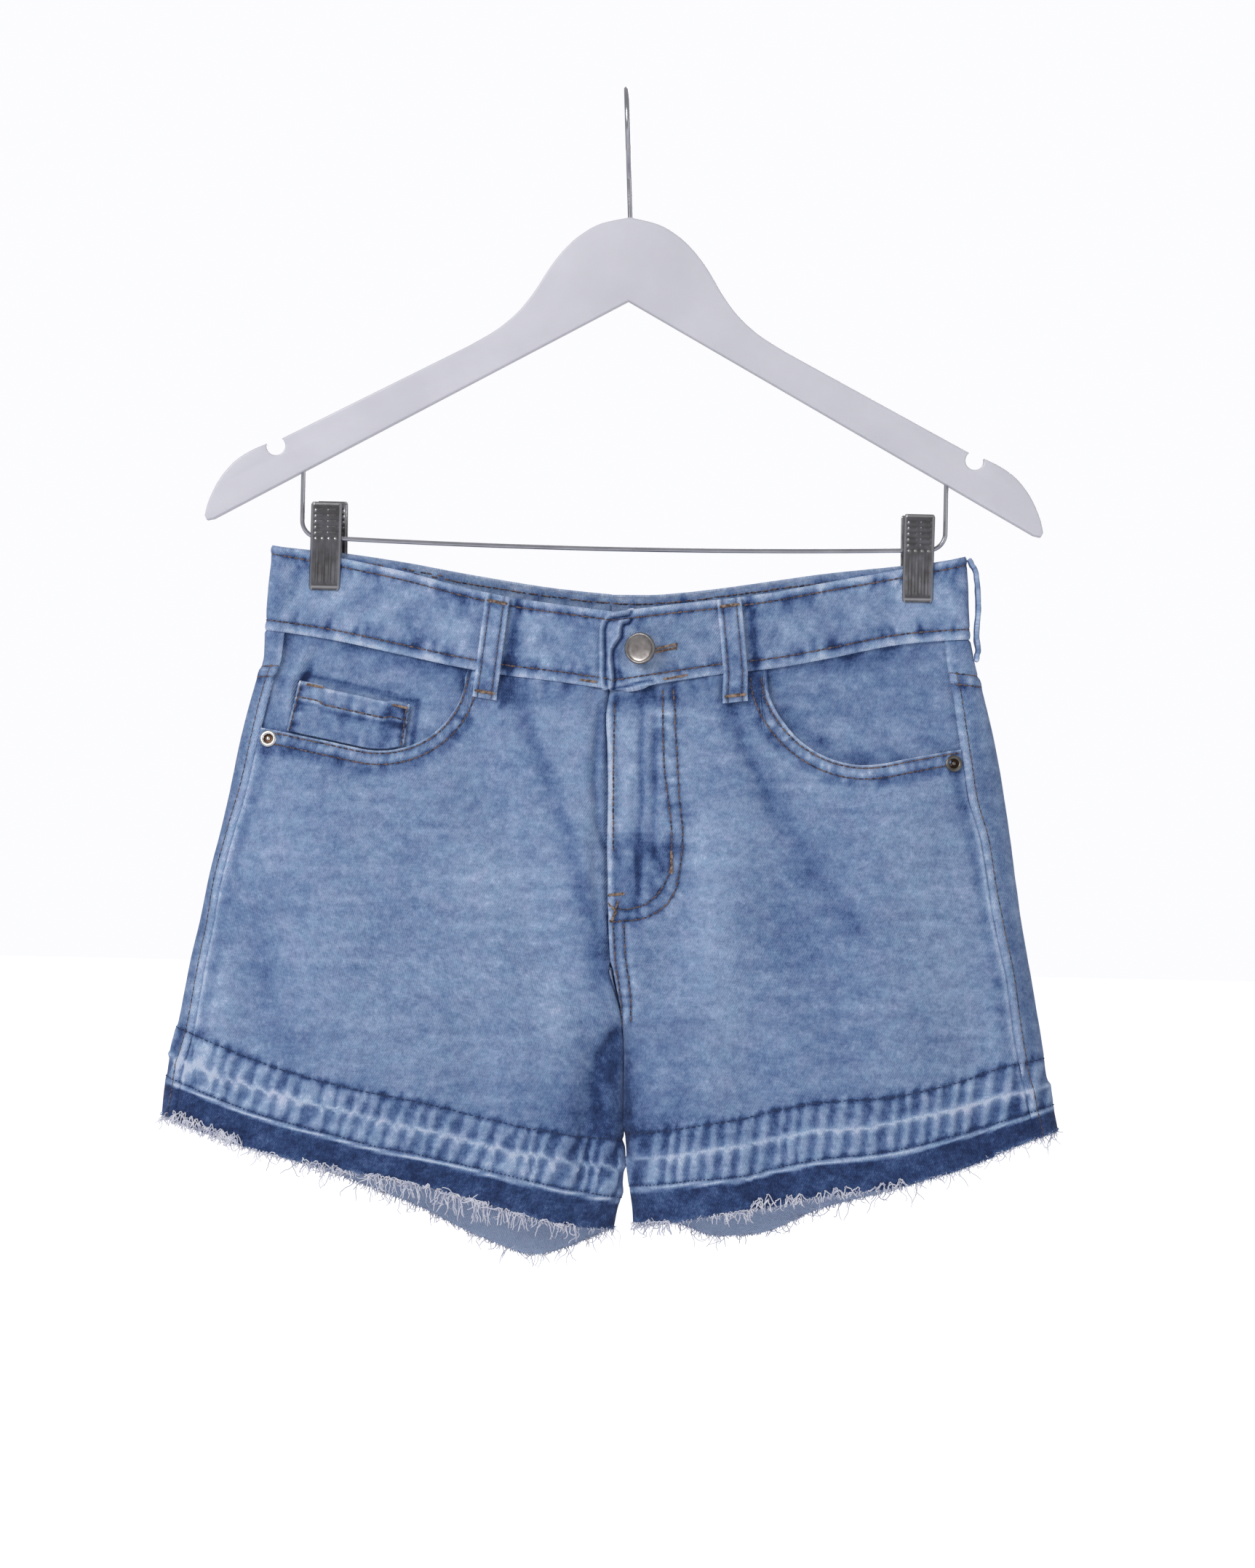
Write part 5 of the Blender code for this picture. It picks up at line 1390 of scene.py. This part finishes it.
threads = bmesh.new()
for half in HALVES:
    band, front = f"waistband_half_{half}", f"front_panel_{half}"
    back, yoke = f"back_panel_{half}", f"yoke_piece_{half}"
    laid = lays[band][0]
    for field in (laid.from_top - 4.6, laid.from_foot - 5.4):
        row = trace(band, field)
        sew(threads, band, row)
        behind = row[row[:, 1] > 0]
        sew(threads, band, behind, through=BAND_WALL)
    line = mouth_line(half)
    for away in (1.6, 7.3):
        row = aside(line, -HALVES[half] * away)
        sew(threads, front,
            facing_front(front, row[row[:, 1] < surface(half, girth_of(MOUTHS[half].start, -1), 0.0)[2] - 1]))
    laid = lays[yoke][0]
    sew(threads, yoke, trace(yoke, laid.from_end - 2.2, 1))
    sew(threads, yoke, trace(yoke, laid.from_end - 8.2, 1))
    laid = lays[back][0]
    for away in (2.2, 8.2):
        sew(threads, back, trace(back, laid.from_top - away))
        row = trace(back, laid.from_end - away, 1)
        sew(threads, back, row[row[:, 2] > -500])
    sew(threads, back, trace(back, laid.from_start - 4.6, 1), girth=0.3)
    seat = "seat_pocket_" + half
    laid = lays[seat][0]
    for away in (1.8, 7.8):
        inset = (laid.from_foot > away)
        for field in (laid.from_start - away, laid.from_end - away):
            row = trace(seat, field, 1)
            sew(threads, seat, row[row[:, 2] > row[:, 2].min() + away])
        row = trace(seat, laid.from_foot - away)
        sew(threads, seat, row[int(away):len(row) - int(away)])
    sew(threads, seat, trace(seat, laid.from_top - 12.5))
for line in (J_OUTER, J_INNER):
    sew(threads, "front_panel_left", facing_front("front_panel_left", line))
sew(threads, "front_panel_left", facing_front("front_panel_left", [(0.4, -325), (0.6, -365), (1.5, -404)]))
for away, foot in ((2.6, -497), (8.2, -495)):
    row = trace("front_panel_left", lays["front_panel_left"][0].from_start - away, 1)
    sew(threads, "front_panel_left", row[(row[:, 2] < -442) & (row[:, 2] > foot)])
laid = lays["coin_pocket_patch"][0]
for field, axis in ((laid.from_start - 1.5, 1), (laid.from_end - 1.5, 1), (laid.from_top - 9.0, 0)):
    sew(threads, "coin_pocket_patch", trace("coin_pocket_patch", field, axis))
for loop in ("front_loop_left", "front_loop_right", "side_loop_left", "side_loop_right", "back_loop"):
    laid = lays[loop][0]
    for field in (laid.from_start - 2.9, laid.from_end - 2.9):
        sew(threads, loop, trace(loop, field, 1), pitch=2.9, girth=0.3)
bmesh.ops.recalc_face_normals(threads, faces=threads.faces)
piece("topstitching", threads, brown, smooth_under=180)

tacks = bmesh.new()
for loop in ("front_loop_left", "front_loop_right", "side_loop_right", "back_loop"):
    laid = lays[loop][0]
    for field in (laid.from_foot - 3.4, laid.from_top - 4.0):
        tack(tacks, loop, trace(loop, field)[2:-2], reach=1.05)
for line, reach in (([(32.2, -403.6), (32.6, -415.0)], 0.9), ([(-0.5, -427.3), (7.6, -426.3)], 0.9),
                    ([(-0.4, -431.5), (3.6, -436.0), (0.6, -441.0)], 0.6),
                    ([(4.4, -430.5), (1.4, -441.0)], 0.5)):
    tack(tacks, "front_panel_left", facing_front("front_panel_left", line), reach=reach)
for on, line in (("coin_pocket_patch", [(-163.0, -319.0), (-154.5, -320.5)]),
                 ("coin_pocket_patch", [(-117.0, -329.0), (-109.6, -330.4)])):
    tack(tacks, on, facing_front(on, line), reach=0.8)
for on, line in (("waistband_half_right", [(-17.8, -313.6), (-9.4, -314.6)]),
                 ("waistband_half_left", [(26.4, -312.4), (38.2, -310.0)])):
    tack(tacks, on, facing_front(on, line), reach=0.7)
slit = [(21.4, -297.4), (31.6, -294.8)]
for shift in (0.95, -0.95):
    tack(tacks, "waistband_half_left",
         facing_front("waistband_half_left", [(x, z + shift) for x, z in slit]), reach=0.75)
tack(tacks, "waistband_half_left", facing_front("waistband_half_left", [(32.6, -293.2), (32.2, -296.4)]),
     reach=0.6)
bmesh.ops.recalc_face_normals(tacks, faces=tacks.faces)
piece("bartacks", tacks, tan, smooth_under=180)

unpicked = bmesh.new()
for half in HALVES:
    for name in (f"front_panel_{half}", f"back_panel_{half}"):
        laid = lays[name][0]
        across = across_of(laid.girth)
        above = (1 - laid.down) * drop(half, across)
        for column, shift, cover in (("stitch", 0.0, 0.72), ("fold", 1.9, 0.55)):
            row = trace(name, above - read(HEMS, f"{column}_{half}", across) - shift)
            sew(unpicked, name, row, pitch=3.2 if column == "stitch" else 2.2, cover=cover, girth=0.42,
                wander=0.25)
bmesh.ops.recalc_face_normals(unpicked, faces=unpicked.faces)
piece("hem_stitch_marks", unpicked, navy, smooth_under=180)


# The frayed hems: undyed weft threads that hang and curl from the raw edge all round both legs, longer
# and looped where more of the cloth has come apart.
white, tree, shader = surface_material("frayed_weft", 0.8, Sheen_Weight=0.3)
tree.links.new(ramp(tree, speckle(tree, 160, 2), (0.35, (0.62, 0.65, 0.80)), (0.6, (0.86, 0.87, 0.96))),
               shader.inputs["Base Color"])
blue_ends, tree, shader = surface_material("frayed_warp", 0.85, Sheen_Weight=0.3)
tree.links.new(ramp(tree, speckle(tree, 300, 2), (0.35, (0.05, 0.11, 0.28)), (0.65, (0.32, 0.42, 0.62))),
               shader.inputs["Base Color"])


def curling(start, length, step=0.9, curl=0.6, heading=None, weight=0.14):
    """A loose thread's points: it wanders from its start, and sinks."""
    heading = Vector(heading or (fray.gauss(-0.25, 0.6), fray.gauss(-0.1, 0.25), -1)).normalized()
    point, bend, path = Vector(start), Vector((0, 0, 0)), [Vector(start)]
    for _ in range(max(3, int(length / step))):
        bend = bend * 0.6 + Vector([fray.gauss(0, 1) for _ in range(3)]) * 0.6
        heading = (heading + bend * curl + Vector((0, 0, -weight))).normalized()
        point = point + heading * step
        path.append(point)
    return path


def looped(name, x, reach, width, hang):
    """A pulled thread that loops up over the cloth from the raw edge at x, and ends below it."""
    edge = lays[name][1][0]
    point = edge[np.argmin(np.abs(edge[:, 0] - x))]
    side = fray.choice((-1, 1))
    path = []
    for s in np.linspace(0, 1, 13):
        up = reach * math.sin(math.pi * s) - hang * s * s + fray.gauss(0, 0.35)
        path.append(Vector((point[0] + side * width * (s - 0.3 + 0.15 * math.sin(5 * s)) + fray.gauss(0, 0.3),
                            point[1] - 1.0 - 0.6 * math.sin(math.pi * s) + fray.gauss(0, 0.15),
                            point[2] + up)))
    return path


Pull = namedtuple("Pull", "half x to_x loops reach hang count")
PULLS = [Pull("right", -232, -192, 0.8, 6.0, 1.5, 56), Pull("right", -190, -172, 0.2, 3.0, 3.5, 14),
         Pull("right", -160, -134, 0.4, 3.5, 5.0, 22), Pull("right", -126, -92, 0.5, 3.0, 7.5, 38),
         Pull("right", -88, -62, 0.3, 2.5, 11.0, 42), Pull("right", -60, -14, 0.3, 2.5, 7.5, 38),
         Pull("left", 14, 34, 0.3, 3.0, 6.0, 24), Pull("left", 76, 92, 0.9, 8.0, 2.0, 12),
         Pull("left", 98, 136, 0.5, 5.0, 2.5, 40), Pull("left", 58, 80, 0.2, 2.0, 6.5, 24),
         Pull("left", 140, 160, 0.7, 4.0, 1.5, 12)]

fray = random.Random(17)
for half in HALVES:
    weft, warp = bmesh.new(), bmesh.new()
    for name in (f"front_panel_{half}", f"back_panel_{half}"):
        for point in resampled(lays[name][1][0], 0.8):
            _, normal = nearest_on(name, point)
            start = Vector(point - normal * fray.uniform(0.1, 1.0)) + Vector((0, 0, 0.8))
            for _ in range(fray.choice((0, 1, 1, 2, 2))):
                reach = 4.5 if name.startswith("front") else 6.5
                strand(weft, curling(start, 1.8 + reach * fray.random() ** 2.0, 0.8), 0.27, 4, 0.4)
            if fray.random() < (0.05 if name.startswith("front") else 0.14):
                strand(weft, curling(start, fray.uniform(8, 16), 1.4, 0.42), 0.22, 4, 0.5)
            strand(warp, curling(start, fray.uniform(0.8, 2.2), 0.6, 0.4), 0.2, 4, 0.4)
            if fray.random() < 0.5:
                outside_face = Vector(point + normal * 0.15) + Vector((0, 0, fray.uniform(0.4, 1.6)))
                strand(warp, curling(outside_face, fray.uniform(0.8, 1.8), 0.5, 0.5), 0.16, 4, 0.4)
    for pull in PULLS:
        if pull.half != half:
            continue
        name = "front_panel_" + half
        for _ in range(pull.count):
            x = fray.uniform(pull.x, pull.to_x)
            if fray.random() < pull.loops:
                path = looped(name, x, pull.reach * fray.uniform(0.5, 1.1), fray.uniform(4, 9), pull.hang)
            else:
                edge = lays[name][1][0]
                start = Vector(edge[np.argmin(np.abs(edge[:, 0] - x))]) + Vector((0, -0.3, 0.8))
                path = curling(start, pull.hang * fray.uniform(0.7, 1.6), 0.9, 0.5)
            strand(weft, path, 0.36, 5, 0.25)
    for bm, name, material, slot in ((weft, "hem_weft_threads_", white, "cotton_thread"),
                                     (warp, "hem_warp_ends_", blue_ends, "denim")):
        bmesh.ops.recalc_face_normals(bm, faces=bm.faces)
        piece(name + half, bm, material, [f"hem_fringe_{half}"] if bm is weft else [], smooth_under=180)


# The clips: two jaws pressed from plated steel, ribbed where the fingers pinch them and fluted below, and
# the coil spring on the wire that holds them shut on the band.
CLIP_WIDTH = 16.4
CLIP_TOP_Z = -222.0
CLIP_FOOT_Z = -268.6

gunmetal, tree, shader = surface_material("dark_steel", 0.3, 1.0)
tarnish = speckle(tree, 130, 4)
# Pale metal where the attribute is high: worn plating on the rims with painted highlights on them, and
# painted glints on the ribs and flutes.
bare_edges_and_glints = join(tree, "Attribute", attribute_name="wear_and_painted_light").outputs["Fac"]
plating = ramp(tree, tarnish, (0.3, (0.12, 0.115, 0.115)), (0.7, (0.21, 0.21, 0.23)))
plating = join(tree, "Mix", data_type="RGBA", i0=bare_edges_and_glints, i6=plating, i7=(0.78, 0.77, 0.78, 1)).outputs[2]
tree.links.new(plating, shader.inputs["Base Color"])
tree.links.new(join(tree, "MapRange", i0=speckle(tree, 900, 3), i3=0.22, i4=0.42).outputs[0],
               shader.inputs["Roughness"])
tree.links.new(join(tree, "Bump", Strength=0.15, Distance=0.0002, Height=speckle(tree, 2400, 2)).outputs[0],
               shader.inputs["Normal"])

Jaw = namedtuple("Jaw", "down out")
JAW = [Jaw(0.0, 9.8), Jaw(8.0, 8.6), Jaw(18.6, 6.8), Jaw(26.6, 5.2), Jaw(33.6, 4.7), Jaw(46.6, 4.7)]
TALL = CLIP_TOP_Z - CLIP_FOOT_Z


def jaw_relief(s, t):
    """How far the pressed pattern stands out, at s across from the middle and t down from the top."""
    edges = (-1.2 * smooth((np.abs(s) - 6.7) / 1.5) - 0.8 * smooth((1.7 - t) / 1.7) - 0.7
             * smooth((t - TALL + 2.4) / 2.4))
    pads = smooth((6.4 - np.abs(s)) / 0.7) * smooth((np.abs(s + 0.4) - 0.7) / 0.6)
    ribs = np.cos(np.pi * (t - 4.6) / 3.0) ** 4 * pads * (t > 3.1) * (t < 18.1)
    flutes = 0.0
    for middle in (-5.2, -1.75, 1.75, 5.2):
        flutes = flutes + bump(s - middle, 0.95) * smooth((t - 18.6) / 1.0) * smooth((TALL - 3.2 - t) / 1.0)
    return edges + 0.5 * ribs + 0.55 * flutes


def jaw(name, x, face, lean, rise, replaced):
    bm = bmesh.new()
    bmesh.ops.create_grid(bm, x_segments=42, y_segments=100, size=0.5)
    wear_and_painted_light = bm.verts.layers.float.new("wear_and_painted_light")
    for vert in bm.verts:
        s, t = vert.co.x * CLIP_WIDTH, (0.5 - vert.co.y) * TALL
        # Pale rims: worn plating with a painted highlight.
        rim = max(bump(abs(s) - 7.5, 0.42), bump(t - 0.9, 0.5), 0.8 * bump(t - TALL + 1.6, 0.5))
        # Painted glints on one side of each rib and on the tops of the flutes.
        rib_glints = (bump(t % 3.0 - 1.6, 0.5) * bump(s * face * -1 + 5.9, 0.5) * (3 < t < 18)
                + bump(t - 19.3, 0.6) * bump(abs(abs(s) - 3.5) - 1.75, 0.5))
        vert[wear_and_painted_light] = min(1.0, 0.75 * rim + 0.8 * rib_glints)
        corner = 0.9 * max(0.0, 1 - min(t, TALL - t) / 1.6) ** 2
        s *= 1 - corner / (CLIP_WIDTH / 2)
        out = float(read(JAW, "out", t)) + float(jaw_relief(np.float64(s), np.float64(t)))
        vert.co = (x + s * -face + (t - TALL / 2) * lean, face * out, CLIP_TOP_Z + rise - t)
    obj = piece(name, bm, gunmetal, [replaced], smooth_under=180)
    wall = obj.modifiers.new("wall", "SOLIDIFY")
    wall.thickness, wall.offset = 0.7 * MM, -1.0
    return obj


def helix(x, turns=5.5, radius=3.0, half_length=4.6):
    centre = Vector((x, 0, BAR_Z - BAR_SAG * (1 - ((x - HANGER_X) / flat) ** 2)))
    turning = np.linspace(0, math.tau * turns, int(turns * 14))
    coil = [centre + Vector((mix(-half_length, half_length, a / turning[-1]), radius * math.cos(a),
                             radius * math.sin(a))) for a in turning]
    legs = [centre + Vector((-half_length, 5.6, 9.5)), centre + Vector((-half_length, 4.3, 5.0))]
    far_legs = [centre + Vector((half_length, -4.3, 5.0)), centre + Vector((half_length, -5.6, 9.5))]
    return legs + coil + far_legs


Clip = namedtuple("Clip", "side x back_shift lean rise")
for clip in (Clip("left", 160.2, -0.8, 0.0, 0.0), Clip("right", -154.7, 3.0, -0.016, 1.2)):
    jaw(f"clip_jaw_front_{clip.side}", clip.x, -1, clip.lean, 0.0, f"clip_{clip.side}_front")
    jaw(f"clip_jaw_back_{clip.side}", clip.x + clip.back_shift, 1, 0.02 * (clip.rise > 0), clip.rise,
        f"clip_{clip.side}_back")
    bm = bmesh.new()
    strand(bm, helix(clip.x), 0.62, 8)
    bmesh.ops.recalc_face_normals(bm, faces=bm.faces)
    piece(f"clip_coil_{clip.side}", bm, plated, [f"clip_{clip.side}_spring"], smooth_under=180)


# The shank button, turned by the pull of its buttonhole, and the two capped rivets at the outer ends of
# the pocket mouths: one bright, one darkened. All three are plain.
BUTTON_RADIUS = 8.5
BUTTON_TURN = 20.0


def plate_material(name, dark, light, rough, brushed):
    material, tree, shader = surface_material(name, rough, 1.0)
    # A dark brown painted reflection in the recessed ring, where the deep attribute is set.
    painted_groove_reflection = join(tree, "Attribute", attribute_name="deep").outputs["Fac"]
    metal = ramp(tree, speckle(tree, 260, 4), (0.3, dark), (0.72, light))
    metal = join(tree, "Mix", data_type="RGBA", i0=painted_groove_reflection, i6=metal, i7=(0.055, 0.03, 0.02, 1)).outputs[2]
    tree.links.new(metal, shader.inputs["Base Color"])
    tree.links.new(join(tree, "MapRange", i0=speckle(tree, 700, 3), i3=rough - 0.08,
                        i4=rough + 0.12).outputs[0], shader.inputs["Roughness"])
    lines = speckle(tree, 1500, 2, stretch=(1, 1, 0.12))
    tree.links.new(join(tree, "Bump", Strength=brushed, Distance=0.0002, Height=lines).outputs[0],
                   shader.inputs["Normal"])
    return material


def turned(name, profile, centre, outwards, material, slot, replaced, steps=40):
    """A turned piece: rows are (radius, height), with its axis outwards from centre."""
    bm = bmesh.new()
    deep = bm.verts.layers.float.new("deep")
    verts = [bm.verts.new((radius, 0.0, height)) for radius, height in profile]
    for vert in verts:
        # The recessed ring, which gets the dark brown painted reflection.
        vert[deep] = 1.0 if vert.co.x < 2.45 and 0 < vert.co.z < 0.75 else 0.0
    edges = [bm.edges.new(pair) for pair in zip(verts, verts[1:])]
    bmesh.ops.spin(bm, geom=verts + edges, axis=(0, 0, 1), cent=(0, 0, 0), angle=math.tau, steps=steps,
                   use_merge=True)
    bmesh.ops.remove_doubles(bm, verts=bm.verts, dist=0.001)
    bmesh.ops.recalc_face_normals(bm, faces=bm.faces)
    bmesh.ops.rotate(bm, matrix=Vector((0, 0, 1)).rotation_difference(outwards).to_matrix(), verts=bm.verts)
    bmesh.ops.translate(bm, vec=centre, verts=bm.verts)
    return piece(name, bm, material, [replaced], smooth_under=35)


def outward(half, across, down):
    girth = girth_of(across, -1)
    return Vector(cloth(half, girth, down, 1.0) - cloth(half, girth, down))


turn = math.radians(BUTTON_TURN)
stand = BUTTON_RADIUS * math.sin(turn)
shank = 2.6
dish = [(0.0, -stand), (shank, -stand), (shank, 0.0), (6.9, 0.0), (7.8, 0.45), (8.35, 1.2), (8.5, 1.9),
        (8.35, 2.5),
        (8.0, 2.95), (7.6, 3.1), (7.2, 3.0), (6.9, 2.75), (6.6, 2.55), (5.5, 2.42), (3.5, 2.30), (1.5, 2.24),
        (0.0, 2.22)]
centre = Vector(cloth("left", girth_of(0.083, -1), -0.485,
                      BAND_WALL + 3 * GAP + stand + shank * math.sin(turn)))
pewter = plate_material("brushed_nickel", (0.20, 0.185, 0.18), (0.40, 0.375, 0.36), 0.30, 0.25)
turned("waist_button", dish, centre, Matrix.Rotation(-turn, 3, "Z") @ outward("left", 0.083, -0.485), pewter,
       "brushed_nickel", "button", 56)
cap = [(0.0, 0.0), (4.3, 0.0), (4.45, 0.3), (4.35, 0.75), (3.95, 1.1), (3.4, 1.2), (2.9, 1.1), (2.6, 0.8),
       (2.4, 0.45),
       (1.9, 0.35), (1.3, 0.35), (1.15, 0.8), (0.95, 1.15), (0.55, 1.4), (0.0, 1.45)]
bright = plate_material("nickel", (0.68, 0.66, 0.64), (0.92, 0.90, 0.87), 0.26, 0.1)
aged = plate_material("aged_brass", (0.10, 0.095, 0.085), (0.24, 0.225, 0.20), 0.36, 0.2)
for half, across, down, material, slot in (("left", 0.883, 0.240, aged, "aged_brass"),
                                           ("right", 0.925, 0.213, bright, "nickel")):
    centre = Vector(cloth(half, girth_of(across, -1), down, GAP + 0.1))
    turned("pocket_rivet_" + half, cap, centre, outward(half, across, down), material, slot, "rivet_" + half,
           32)

# The fields for what a piece of cloth measured flat, as far as it shows, before it was sewn and hung.
Cut = namedtuple("Cut", "name width length area rests_on")
